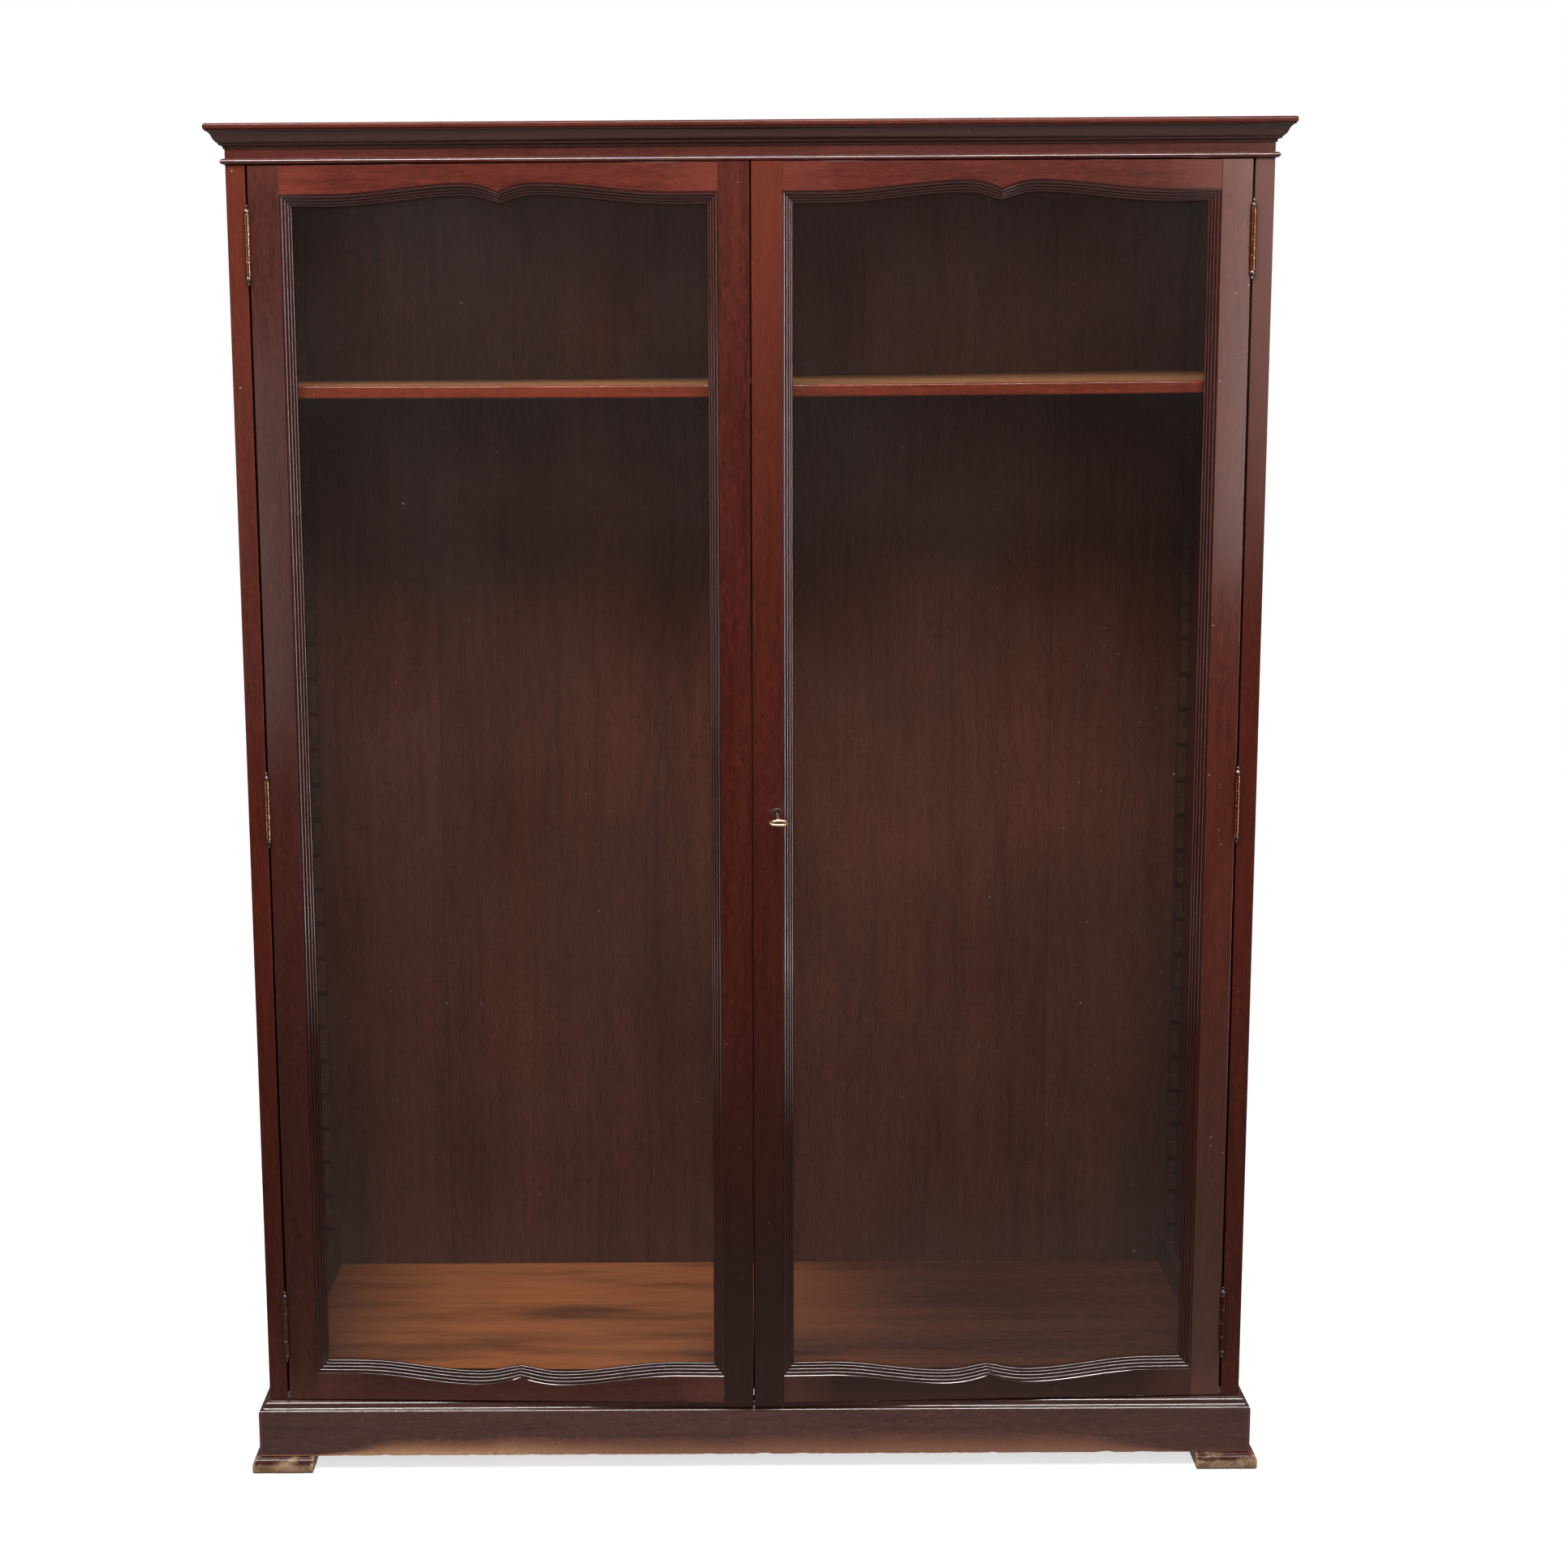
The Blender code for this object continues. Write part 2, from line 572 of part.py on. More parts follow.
HINGE_NAMES = ("top", "middle", "bottom")
brass = material("hinge_brass", (0.42, 0.27, 0.11), 0.35, 1.0)
for side, label, axis in ((-1, "left", left_axis), (1, "right", right_axis)):
    for zc, hn in zip(HINGE_Z, HINGE_NAMES):
        z0 = zc - BARREL / 2
        k = BARREL / 4
        cx, cy = side * PIN_X, PIN_Y
        # carcass leaf: plate on the side, knuckles 1 and 3, the pin and finials
        low, mid, high = knuckle_profile(z0, (1, 3))
        prof = low + mid + high
        clean = []
        for p in prof:
            if not clean or (abs(clean[-1][0] - p[0]) > 1e-7 or abs(clean[-1][1] - p[1]) > 1e-7):
                clean.append(p)
        bm = turned(clean, (cx, cy))
        ob = new_object("%s_%s_hinge_fixed_leaf" % (label, hn), bm, brass)
        smooth(ob, 35)
        xa, xb = sorted((side * (INNER - GAP), side * (INNER - GAP - LEAF_T)))
        plate = box_bm((xa, 0.0006, z0), (xb, LEAF_W, z0 + BARREL))
        for i in (1, 3):
            arm = box_bm((xa, PIN_Y + 0.0005, z0 + i * k + 0.0004),
                         (xb, 0.0040, z0 + (i + 1) * k - 0.0004))
            combine(ob, cutter("%s_%s_arm_%d" % (label, hn, i), arm), 'UNION')
        combine(ob, cutter("%s_%s_plate" % (label, hn), plate), 'UNION')
        # door leaf: plate on the door's edge and two bored knuckles
        xa, xb = sorted((side * (DOOR_EDGE + GAP), side * (DOOR_EDGE + GAP + LEAF_T)))
        bm = box_bm((xa, 0.0006, z0), (xb, LEAF_W, z0 + BARREL))
        ob = new_object("%s_%s_hinge_door_leaf" % (label, hn), bm, brass, axis, pin_of[axis.name])
        for i in (0, 2):
            za, zb = z0 + i * k + 0.0002, z0 + (i + 1) * k - 0.0002
            if i == 0:
                za = z0 + 0.0002
            combine(ob, cutter("%s_%s_door_arm_%d" % (label, hn, i),
                               box_bm((xa, PIN_Y + 0.0005, za + 0.0003), (xb, 0.0040, zb - 0.0003))),
                    'UNION')
            combine(ob, cutter("%s_%s_knuckle_%d" % (label, hn, i),
                               cylinder_bm(KNUCKLE_R, za, zb, (cx, cy), 16)), 'UNION')
        for i in (0, 2):
            za, zb = z0 + i * k - 0.002, z0 + (i + 1) * k + 0.002
            combine(ob, cutter("%s_%s_bore_%d" % (label, hn, i),
                               cylinder_bm(KNUCKLE_BORE, za, zb, (cx, cy), 16)), 'DIFFERENCE')
        smooth(ob, 35)

# ------------------------------------------------------------ lock and key
steel = material("lock_steel", (0.30, 0.29, 0.27), 0.4, 1.0)
case_x = (0.0055, 0.0480)
case_y = (0.0100, 0.0247)
case_z = (LOCK.z - 0.0300, LOCK.z + 0.0300)
rp = pin_of["right_door_axis"]
lock_case = new_object("lock_case", box_bm((case_x[0], case_y[0], case_z[0]),
                                           (case_x[1], case_y[1], case_z[1])),
                       steel, right_axis, rp)
combine(lock_case, cutter("key_chamber", cylinder_bm(0.0080, 0.0115, 0.0172,
                                                     (LOCK.x, LOCK.z), 20, 'Y')), 'DIFFERENCE')
combine(lock_case, cutter("case_keyhole", cylinder_bm(0.0036, 0.0050, 0.0130,
                                                      (LOCK.x, LOCK.z), 16, 'Y')), 'DIFFERENCE')
combine(lock_case, cutter("case_keyslot",
                          box_bm((LOCK.x - 0.0018, 0.0050, LOCK.z - 0.0074),
                                 (LOCK.x + 0.0018, 0.0130, LOCK.z))), 'DIFFERENCE')
BOLT_Y = (0.0186, 0.0228)
BOLT_Z = (LOCK.z - 0.0070, LOCK.z + 0.0070)
combine(lock_case, cutter("bolt_channel",
                          box_bm((0.0000, BOLT_Y[0] - GAP, BOLT_Z[0] - GAP),
                                 (0.0400, BOLT_Y[1] + GAP, BOLT_Z[1] + GAP))), 'DIFFERENCE')
bolt = new_object("lock_bolt", box_bm((MEET_GAP + 0.0003, BOLT_Y[0], BOLT_Z[0]),
                                      (0.0390, BOLT_Y[1], BOLT_Z[1])), steel, right_axis, rp)

# pocket, bolt hole and keyhole in the right door's meeting stile
stile = bpy.data.objects["right_door_meeting_stile"]
combine(stile, cutter("lock_pocket",
                      box_bm((case_x[0] - GAP, case_y[0] - GAP, case_z[0] - GAP),
                             (case_x[1] + GAP, DOOR_T + 0.01, case_z[1] + GAP))), 'DIFFERENCE')
combine(stile, cutter("bolt_hole",
                      box_bm((-0.0050, BOLT_Y[0] - 0.0006, BOLT_Z[0] - 0.0006),
                             (case_x[0] + 0.001, BOLT_Y[1] + 0.0006, BOLT_Z[1] + 0.0006))),
        'DIFFERENCE')
combine(stile, cutter("keyhole", cylinder_bm(0.0036, -0.0050, 0.0110, (LOCK.x, LOCK.z), 16, 'Y')),
        'DIFFERENCE')
combine(stile, cutter("keyslot", box_bm((LOCK.x - 0.0018, -0.0050, LOCK.z - 0.0074),
                                        (LOCK.x + 0.0018, 0.0110, LOCK.z))), 'DIFFERENCE')
# mortise that the bolt enters in the left door
left_stile = bpy.data.objects["left_door_meeting_stile"]
combine(left_stile, cutter("bolt_mortise",
                           box_bm((-0.0140, BOLT_Y[0] - 0.0014, BOLT_Z[0] - 0.0012),
                                  (0.0050, BOLT_Y[1] + 0.0014, BOLT_Z[1] + 0.0012))), 'DIFFERENCE')

# escutcheon ring round the keyhole
esc = new_object("escutcheon", cylinder_bm(0.0070, -0.0012, -0.0003, (LOCK.x, LOCK.z), 24, 'Y'),
                 material("escutcheon_brass", (0.25, 0.16, 0.07), 0.45, 1.0), right_axis, rp)
combine(esc, cutter("escutcheon_hole", cylinder_bm(0.0036, -0.0050, 0.0050,
                                                   (LOCK.x, LOCK.z), 16, 'Y')), 'DIFFERENCE')
combine(esc, cutter("escutcheon_slot", box_bm((LOCK.x - 0.0018, -0.0050, LOCK.z - 0.0058),
                                              (LOCK.x + 0.0018, 0.0050, LOCK.z))), 'DIFFERENCE')

# key: its own empty on the key's axis, which droops a little
key_axis = bpy.data.objects.new("key_axis", None)
parts.objects.link(key_axis)
key_axis.parent = right_axis
key_axis.location = Vector((LOCK.x, KEY_PIVOT_Y, LOCK.z)) - rp
key_axis.rotation_euler = (KEY_DROOP, 0.0, 0.0)
pin_of["key_axis"] = Vector((0.0, 0.0, 0.0))
key_brass = material("key_brass", (0.40, 0.27, 0.13), 0.35, 1.0)
KEY_TIP = 0.0098           # inner end of the shaft, from the pivot
KEY_NECK = -0.0410         # where the bow starts
shank = cylinder_bm(0.0022, KEY_NECK, KEY_TIP, (0.0, 0.0), 14, 'Y')
key = new_object("key", shank, key_brass, key_axis, (0.0, 0.0, 0.0))
collar = cylinder_bm(0.0034, KEY_NECK + 0.0010, KEY_NECK + 0.0042, (0.0, 0.0), 14, 'Y')
combine(key, cutter("key_collar", collar), 'UNION')
combine(key, cutter("key_bit", box_bm((0.0, 0.0064, -0.0009), (0.0062, 0.0094, 0.0009))), 'UNION')


def ring_bm(a, b, r, centre_y, n_major=28, n_minor=8):
    """Oval bow of round wire lying flat, as a closed sweep."""
    bm = bmesh.new()
    rings = []
    for i in range(n_major):
        t = 2 * math.pi * i / n_major
        c = Vector((a * math.cos(t), centre_y + b * math.sin(t), 0.0))
        nrm = Vector((b * math.cos(t), a * math.sin(t), 0.0)).normalized()
        rings.append([bm.verts.new(c + nrm * r * math.cos(u) + Vector((0, 0, 1)) * r * math.sin(u))
                      for u in (2 * math.pi * j / n_minor for j in range(n_minor))])
    for i in range(n_major):
        a_, b_ = rings[i], rings[(i + 1) % n_major]
        for j in range(n_minor):
            k = (j + 1) % n_minor
            bm.faces.new((a_[j], b_[j], b_[k], a_[k]))
    return bm


bow = ring_bm(0.0130, 0.0100, 0.0020, KEY_NECK - 0.0096)
combine(key, cutter("key_bow", bow), 'UNION')
smooth(key, 45)


# ------------------------------------------- shelf, strips and the bearers
def strip_outline(ya, yb, forward):
    """Sawtooth strip as (y, z): level ledges up, slanted undersides."""
    back, tip = (yb, ya) if forward else (ya, yb)
    d = NOTCH if forward else -NOTCH
    pts = [(back, STRIP_BOT), (tip, STRIP_BOT)]
    k = 0
    while LEDGE_0 + PITCH * k + 0.040 < STRIP_TOP:
        z = LEDGE_0 + PITCH * k
        pts += [(tip, z), (tip + d, z), (tip + d, z + 0.0270), (tip, z + 0.0365)]
        k += 1
    pts += [(tip, STRIP_TOP), (back, STRIP_TOP)]
    return pts


for side, label in ((-1, "left"), (1, "right")):
    x0, x1 = sorted((side * (INNER - GAP), side * (INNER - GAP - STRIP_T)))
    for (ya, yb), where, forward in ((STRIP_FRONT, "front", False), (STRIP_BACK, "back", True)):
        bm = prism_bm(strip_outline(ya, yb, forward), 'X', x0, x1)
        new_object("ratchet_strip_%s_%s" % (where, label), bm,
                   wood("strip_%s_%s" % (where, label), (0.10, 0.035, 0.022), 0.45))
    # floor batten that the strips stand on
    new_object("floor_batten_" + label,
               box_bm((x0, 0.0320, FLOOR_TOP + GAP), (x1, 0.4612, STRIP_BOT - GAP)),
               wood("batten_" + label, (0.12, 0.045, 0.028), 0.5))
    # bearer between the front and back strips, on a pair of ledges
    zb = LEDGE_0 + PITCH * BEARER_LEDGE
    x0, x1 = sorted((side * (INNER - GAP - 0.0005), side * (INNER - GAP - 0.0125)))
    new_object("shelf_bearer_" + label,
               box_bm((x0, STRIP_FRONT[1] - NOTCH + GAP, zb + GAP),
                      (x1, STRIP_BACK[0] + NOTCH - GAP, SHELF_Z - GAP)),
               wood("bearer_" + label, (0.12, 0.045, 0.028), 0.5))

bm = box_bm((-INNER + 0.0030, 0.0340, SHELF_Z), (INNER - 0.0030, 0.4590, SHELF_Z + SHELF_T))
soften(bm, 0.0035, 3, lambda m, d: abs(d.x) > 0.9 and m.y < 0.035)
shelf = new_object("shelf", bm, wood("shelf", (0.22, 0.060, 0.026), 0.36))
for side, label in ((-1, "left"), (1, "right")):
    x0, x1 = sorted((side * (INNER - STRIP_T - 0.0015), side * (INNER + 0.01)))
    for (ya, yb), where in ((STRIP_FRONT, "front"), (STRIP_BACK, "back")):
        lo_y = 0.0 if where == "front" else ya - 0.0015
        combine(shelf, cutter("shelf_notch_%s_%s" % (where, label),
                              box_bm((x0, lo_y, SHELF_Z - 0.01),
                                     (x1, yb + 0.0015, SHELF_Z + SHELF_T + 0.01))), 'DIFFERENCE')
smooth(shelf, 35)

# ------------------------------------- origin under the middle of the object
for ob in list(parts.objects) + list(cutters.objects):
    if ob.parent is None:
        ob.location.y += FACE_Y
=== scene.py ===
"""Display cabinet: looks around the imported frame. Metres, one shared frame."""
import json
import math

import bpy
import bmesh
from mathutils import Matrix, Vector, noise

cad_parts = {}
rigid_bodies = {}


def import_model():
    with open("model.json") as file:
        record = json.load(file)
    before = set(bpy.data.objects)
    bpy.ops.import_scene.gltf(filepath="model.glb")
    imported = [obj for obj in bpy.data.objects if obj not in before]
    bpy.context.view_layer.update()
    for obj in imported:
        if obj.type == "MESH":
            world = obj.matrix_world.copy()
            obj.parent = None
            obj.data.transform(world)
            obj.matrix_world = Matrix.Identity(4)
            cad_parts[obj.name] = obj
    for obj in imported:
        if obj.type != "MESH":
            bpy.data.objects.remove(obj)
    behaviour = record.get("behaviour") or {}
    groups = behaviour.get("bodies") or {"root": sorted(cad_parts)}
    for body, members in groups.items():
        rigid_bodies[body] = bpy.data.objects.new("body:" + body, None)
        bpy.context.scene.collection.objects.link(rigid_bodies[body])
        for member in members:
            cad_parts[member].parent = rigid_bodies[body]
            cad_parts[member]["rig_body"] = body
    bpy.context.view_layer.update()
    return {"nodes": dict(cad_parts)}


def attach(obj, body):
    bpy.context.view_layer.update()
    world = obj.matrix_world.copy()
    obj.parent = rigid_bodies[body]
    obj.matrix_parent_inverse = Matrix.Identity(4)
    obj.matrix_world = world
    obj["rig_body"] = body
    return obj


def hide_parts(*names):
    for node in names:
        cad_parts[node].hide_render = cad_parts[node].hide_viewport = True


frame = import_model()
NODES = frame["nodes"]

# ------------------------------------------------------------ measurements
CARCASS_W = 1.500
CARCASS_D = 0.470
SIDE_T = 0.0275
HEIGHT = 2.0375
FOOT_H = 0.0245
PLINTH_BOT = 0.0248
PLINTH_ARRIS = 0.0945
PLINTH_TOP = 0.1102
PLINTH_OUT = 0.0155
PLINTH_T = 0.0095
SIDE_BOT = 0.1105
FLOOR_TOP = 0.1460
FLOOR_T = 0.0200
TOP_IN = 1.9585
TOP_T = 0.0225
FRIEZE_BOT = 1.9815
FRIEZE_TOP = 2.0282
FRIEZE_T = 0.0220
BOARD_BOT = 2.0285
BOARD_OUT = 0.0260
CROWN_BOT = 2.0035
BEAD_TOP = 1.9895
BEAD_OUT = 0.0065
BACK_T = 0.0080
BACK_JOINT_L = -0.5147
BACK_JOINT_R = 0.5078
GAP = 0.0003
FACE_Y = -0.1965
DOOR_BOT = 0.1120
DOOR_TOP = 1.9800
DOOR_T = 0.0250
DOOR_EDGE = 0.7190
MEET_GAP = 0.0010
MOULD_OUT = 0.6748
MOULD_IN = 0.0457
MOULD_TOP = 1.9383
MOULD_BOT = 0.1551
MOULD_W = 0.0160
REBATE_Y = 0.0157
GLASS_T = 0.0030
REB_TOP = 1.9440
REB_BOT = 0.1455
REB_SIDE = 0.0040
TOP_CURVE = dict(hump=0.0143, at=0.0507, cusp=0.0014, flat=0.245)
BOT_CURVE = dict(hump=-0.0163, at=0.0640, cusp=-0.0046, flat=0.245)
PIN_X = 0.72075
PIN_Y = -0.0042
PIN_R = 0.0018
KNUCKLE_R = 0.0040
KNUCKLE_BORE = 0.0021
BARREL = 0.0889
LEAF_W = 0.0210
LEAF_T = 0.0012
HINGE_Z = (1.8674, 1.0420, 0.2310)
AJAR = math.radians(1.75)
LOCK = Vector((0.0365, 0.0, 1.0370))
KEY_DROOP = math.radians(7.0)
KEY_PIVOT_Y = 0.0060
SHELF_Z = 1.6480
SHELF_T = 0.0190
STRIP_T = 0.0140
STRIP_FRONT = (0.0380, 0.0600)
STRIP_BACK = (0.3850, 0.4070)
STRIP_BOT = 0.1955
STRIP_TOP = 1.9580
NOTCH = 0.0070
PITCH = 0.0590
LEDGE_0 = 0.2069
BEARER_LEDGE = 24
HALF = CARCASS_W / 2.0
INNER = HALF - SIDE_T

CARCASS = Matrix.Translation((0.0, FACE_Y, 0.0))


def door_place(side):
    pin = Vector((side * PIN_X, PIN_Y, 0.0))
    return (CARCASS @ Matrix.Translation(pin) @ Matrix.Rotation(side * AJAR, 4, 'Z')
            @ Matrix.Translation(-pin))


PLACE = {"carcass": CARCASS, "shelf_body": CARCASS, "left_door": door_place(-1),
         "right_door": door_place(1), "bolt_body": door_place(1)}
PLACE["key_body"] = (door_place(1) @ Matrix.Translation((LOCK.x, KEY_PIVOT_Y, LOCK.z))
                     @ Matrix.Rotation(KEY_DROOP, 4, 'X'))


# --------------------------------------------------------------- node tools
class Tree:
    """Short way to write a material's nodes."""

    def __init__(self, name):
        self.mat = bpy.data.materials.new(name)
        self.mat.use_nodes = True
        self.t = self.mat.node_tree
        self.bsdf = self.t.nodes["Principled BSDF"]
        self.out = self.t.nodes["Material Output"]

    def node(self, kind, **props):
        n = self.t.nodes.new(kind)
        for k, v in props.items():
            setattr(n, k, v)
        return n

    def link(self, a, b):
        self.t.links.new(a, b)

    def put(self, sock, value):
        if isinstance(value, bpy.types.NodeSocket):
            self.link(value, sock)
        else:
            sock.default_value = value

    def coords(self):
        return self.node("ShaderNodeTexCoord").outputs["Object"]

    def mapping(self, vec, loc=(0, 0, 0), scale=(1, 1, 1), rot=(0, 0, 0)):
        n = self.node("ShaderNodeMapping")
        self.link(vec, n.inputs["Vector"])
        n.inputs["Location"].default_value = loc
        n.inputs["Scale"].default_value = scale
        n.inputs["Rotation"].default_value = rot
        return n.outputs[0]

    def noise(self, vec, scale, detail=2.0, rough=0.5, distort=0.0, out=0):
        n = self.node("ShaderNodeTexNoise")
        self.link(vec, n.inputs["Vector"])
        n.inputs["Scale"].default_value = scale
        n.inputs["Detail"].default_value = detail
        n.inputs["Roughness"].default_value = rough
        n.inputs["Distortion"].default_value = distort
        return n.outputs[out]

    def voronoi(self, vec, scale, out="Distance", feature='F1', rand=1.0):
        n = self.node("ShaderNodeTexVoronoi", feature=feature)
        self.link(vec, n.inputs["Vector"])
        n.inputs["Scale"].default_value = scale
        n.inputs["Randomness"].default_value = rand
        return n.outputs[out]

    def math(self, op, a, b=None, c=None, clamp=False):
        n = self.node("ShaderNodeMath", operation=op, use_clamp=clamp)
        self.put(n.inputs[0], a)
        if b is not None:
            self.put(n.inputs[1], b)
        if c is not None:
            self.put(n.inputs[2], c)
        return n.outputs[0]

    def remap(self, v, a, b, c=0.0, d=1.0, smooth=False):
        n = self.node("ShaderNodeMapRange", clamp=True)
        if smooth:
            n.interpolation_type = 'SMOOTHSTEP'
        self.put(n.inputs["Value"], v)
        for i, x in zip((1, 2, 3, 4), (a, b, c, d)):
            n.inputs[i].default_value = x
        return n.outputs[0]

    def vmath(self, op, a, b, scale=None):
        n = self.node("ShaderNodeVectorMath", operation=op)
        self.put(n.inputs[0], a)
        if b is not None:
            self.put(n.inputs[1], b)
        if scale is not None:
            n.inputs["Scale"].default_value = scale
        return n.outputs[0]

    def ramp(self, fac, stops):
        n = self.node("ShaderNodeValToRGB")
        self.link(fac, n.inputs[0])
        el = n.color_ramp.elements
        while len(el) < len(stops):
            el.new(0.5)
        for e, (p, c) in zip(el, stops):
            e.position = p
            e.color = (*c, 1.0)
        return n.outputs[0]

    def mix(self, fac, a, b, blend='MIX'):
        n = self.node("ShaderNodeMix", data_type='RGBA', blend_type=blend)
        n.clamp_factor = True
        self.put(n.inputs[0], fac)
        for i, v in ((6, a), (7, b)):
            self.put(n.inputs[i], (*v, 1.0) if isinstance(v, tuple) and len(v) == 3 else v)
        return n.outputs[2]

    def xyz(self, vec):
        n = self.node("ShaderNodeSeparateXYZ")
        self.link(vec, n.inputs[0])
        return n.outputs

    def bump(self, height, strength, distance, normal=None):
        n = self.node("ShaderNodeBump")
        n.inputs["Strength"].default_value = strength
        n.inputs["Distance"].default_value = distance
        self.link(height, n.inputs["Height"])
        if normal is not None:
            self.link(normal, n.inputs["Normal"])
        return n.outputs[0]


seed_count = [0]


def wood(name, grain, dark, mid, light, rough=0.36, coat=0.55, coat_rough=0.15, figure=1.0,
         pore=0.50, specks=0.0, bump=0.20, wear=None, patch=0.25, level=0.05, scuff=0.30,
         groove_shade=0.0, arris=0.0, low=0.0, low_tone=(0.030, 0.0160, 0.0115), high=0.0,
         high_tone=(0.2, 0.05, 0.03)):
    """Mahogany: ribbon figure, short pores, uneven polish, dust specks and worn places.

    grain is the axis that the boards' fibres follow. wear(tree, coords) may
    return (mask, colour, roughness) for places where the polish is gone.
    low and high paint shade towards the floor and a sheen towards the top,
    and the hollows can be darkened with painted shade.
    """
    seed_count[0] += 1
    s = seed_count[0]
    t = Tree(name)
    along = {'X': (0.060, 1.0, 1.0), 'Y': (1.0, 0.060, 1.0), 'Z': (1.0, 1.0, 0.060)}[grain]
    short = {'X': (0.10, 1.0, 1.0), 'Y': (1.0, 0.10, 1.0), 'Z': (1.0, 1.0, 0.10)}[grain]
    obj = t.coords()
    base = t.mapping(obj, loc=(s * 1.371 % 7, s * 2.117 % 5, s * 0.733 % 6), scale=along)
    sway = t.noise(t.mapping(obj, loc=(s * .37, s * .91, s * .53)), 1.7, 2.0, 0.5, out=1)
    sway = t.vmath('SCALE', t.vmath('SUBTRACT', sway, (0.5, 0.5, 0.5)), None, 0.035)
    p = t.vmath('ADD', base, sway)
    band = t.noise(p, 17.0, 4.0, 0.58)
    streak = t.noise(p, 95.0, 4.0, 0.62)
    fine = t.noise(t.mapping(obj, loc=(s * .11, s * .23, s * .31), scale=along), 520.0, 3.0, 0.6)
    fac = t.math('ADD', t.math('MULTIPLY', band, 0.52 * figure),
                 t.math('ADD', t.math('MULTIPLY', streak, 0.36),
                        t.math('MULTIPLY', fine, 0.46)))
    fac = t.math('SUBTRACT', fac, 0.17 + 0.26 * (figure - 1.0))
    col = t.ramp(fac, [(0.30, dark), (0.50, mid), (0.72, light)])
    pores = t.noise(t.mapping(obj, loc=(s * .7, 0, s * .2), scale=short), 900.0, 1.0, 0.4)
    pores = t.remap(pores, 0.60, 0.70)
    col = t.mix(t.math('MULTIPLY', pores, pore), col, tuple(c * 0.25 for c in dark))
    rub = t.noise(t.mapping(obj, loc=(s * .45, s * .15, s * .85),
                            scale=tuple(0.35 + 0.65 * k for k in along)), 150.0, 5.0, 0.72)
    col = t.mix(t.math('MULTIPLY', t.remap(rub, 0.53, 0.72), scuff), col,
                tuple(c * 1.9 for c in light))
    blot = t.noise(t.mapping(obj, loc=(s * .9, s * .4, s * .6)), 2.3, 3.0, 0.55)
    col = t.mix(t.remap(blot, 0.35, 0.70, 0.0, patch), col, tuple(c * 0.42 for c in mid))
    if low > 0.0:
        # painted shade: the colour runs towards low_tone, darker, towards the floor
        up = t.remap(t.xyz(obj)[2], 1.00, 0.22, 0.0, low, True)
        col = t.mix(up, col, low_tone)
    if high > 0.0:
        # painted sheen: the colour runs lighter, towards high_tone, towards the top
        col = t.mix(t.remap(t.xyz(obj)[2], 1.25, 1.95, 0.0, high, True), col, high_tone)
    rgh = t.math('ADD', t.math('MULTIPLY', streak, 0.10), rough - 0.05)
    height = t.math('ADD', t.math('MULTIPLY', streak, 0.5),
                    t.math('SUBTRACT', t.math('MULTIPLY', fine, 0.35),
                           t.math('MULTIPLY', pores, 0.45)))
    if specks > 0.0:
        cell = t.node("ShaderNodeTexVoronoi", feature='F1')
        t.link(t.mapping(obj, loc=(s * .3, s * .8, s * .5)), cell.inputs["Vector"])
        cell.inputs["Scale"].default_value = 48.0
        pick = t.xyz(cell.outputs["Color"])
        size = t.remap(pick[1], 0.0, 1.0, 0.020, 0.075)
        dot = t.math('MULTIPLY', t.math('LESS_THAN', cell.outputs["Distance"], size),
                     t.math('GREATER_THAN', pick[0], 0.72))
        col = t.mix(t.math('MULTIPLY', dot, specks), col, (0.50, 0.40, 0.36))
        rgh = t.math('ADD', rgh, t.math('MULTIPLY', dot, 0.4), clamp=True)
    if wear is not None:
        mask, tint, worn_rough = wear(t, obj, streak, fine)
        col = t.mix(mask, col, tint)
        rgh = t.math('ADD', t.math('MULTIPLY', mask, worn_rough - rough), rgh, clamp=True)
    if groove_shade > 0.0:
        # painted shade darkens the hollows, and the arrises are rubbed lighter
        pt = t.node("ShaderNodeNewGeometry").outputs["Pointiness"]
        col = t.mix(t.math('MULTIPLY', t.remap(pt, 0.492, 0.455), groove_shade), col,
                    tuple(c * 0.10 for c in dark))
        col = t.mix(t.math('MULTIPLY', t.remap(pt, 0.53, 0.59), arris), col,
                    tuple(c * 1.6 + 0.02 for c in light))
    b = t.bsdf
    t.link(col, b.inputs["Base Color"])
    t.link(rgh, b.inputs["Roughness"])
    b.inputs["Specular IOR Level"].default_value = level
    b.inputs["Coat Weight"].default_value = coat
    b.inputs["Coat Roughness"].default_value = coat_rough
    b.inputs["Coat IOR"].default_value = 1.5
    nrm = t.bump(height, bump, 0.0012)
    t.link(nrm, b.inputs["Normal"])
    if coat > 0:
        wave = t.noise(t.mapping(obj, loc=(s, s * .5, 0), scale=short), 60.0, 2.0, 0.5)
        t.link(t.bump(wave, 0.05, 0.0010), b.inputs["Coat Normal"])
    return t.mat


# ------------------------------------------------------------ wood families
DEEP = ((0.052, 0.0085, 0.0050), (0.118, 0.0205, 0.0115), (0.175, 0.0330, 0.0180))
BROWN = ((0.047, 0.0108, 0.0074), (0.096, 0.0225, 0.0145), (0.140, 0.0350, 0.0225))
REEDS = ((0.034, 0.0075, 0.0060), (0.074, 0.0155, 0.0115), (0.115, 0.0260, 0.0185))
RAIL = ((0.064, 0.0098, 0.0056), (0.150, 0.0235, 0.0124), (0.228, 0.0390, 0.0200))
PLINTH = ((0.054, 0.0165, 0.0118), (0.105, 0.0330, 0.0235), (0.155, 0.0520, 0.0370))
CROWN = ((0.022, 0.0065, 0.0052), (0.048, 0.0135, 0.0105), (0.082, 0.0235, 0.0175))
FRIEZE = ((0.048, 0.0090, 0.0060), (0.102, 0.0195, 0.0125), (0.160, 0.0330, 0.0210))
TAN = ((0.420, 0.1700, 0.0720), (0.800, 0.3500, 0.1500), (0.950, 0.5000, 0.2300))
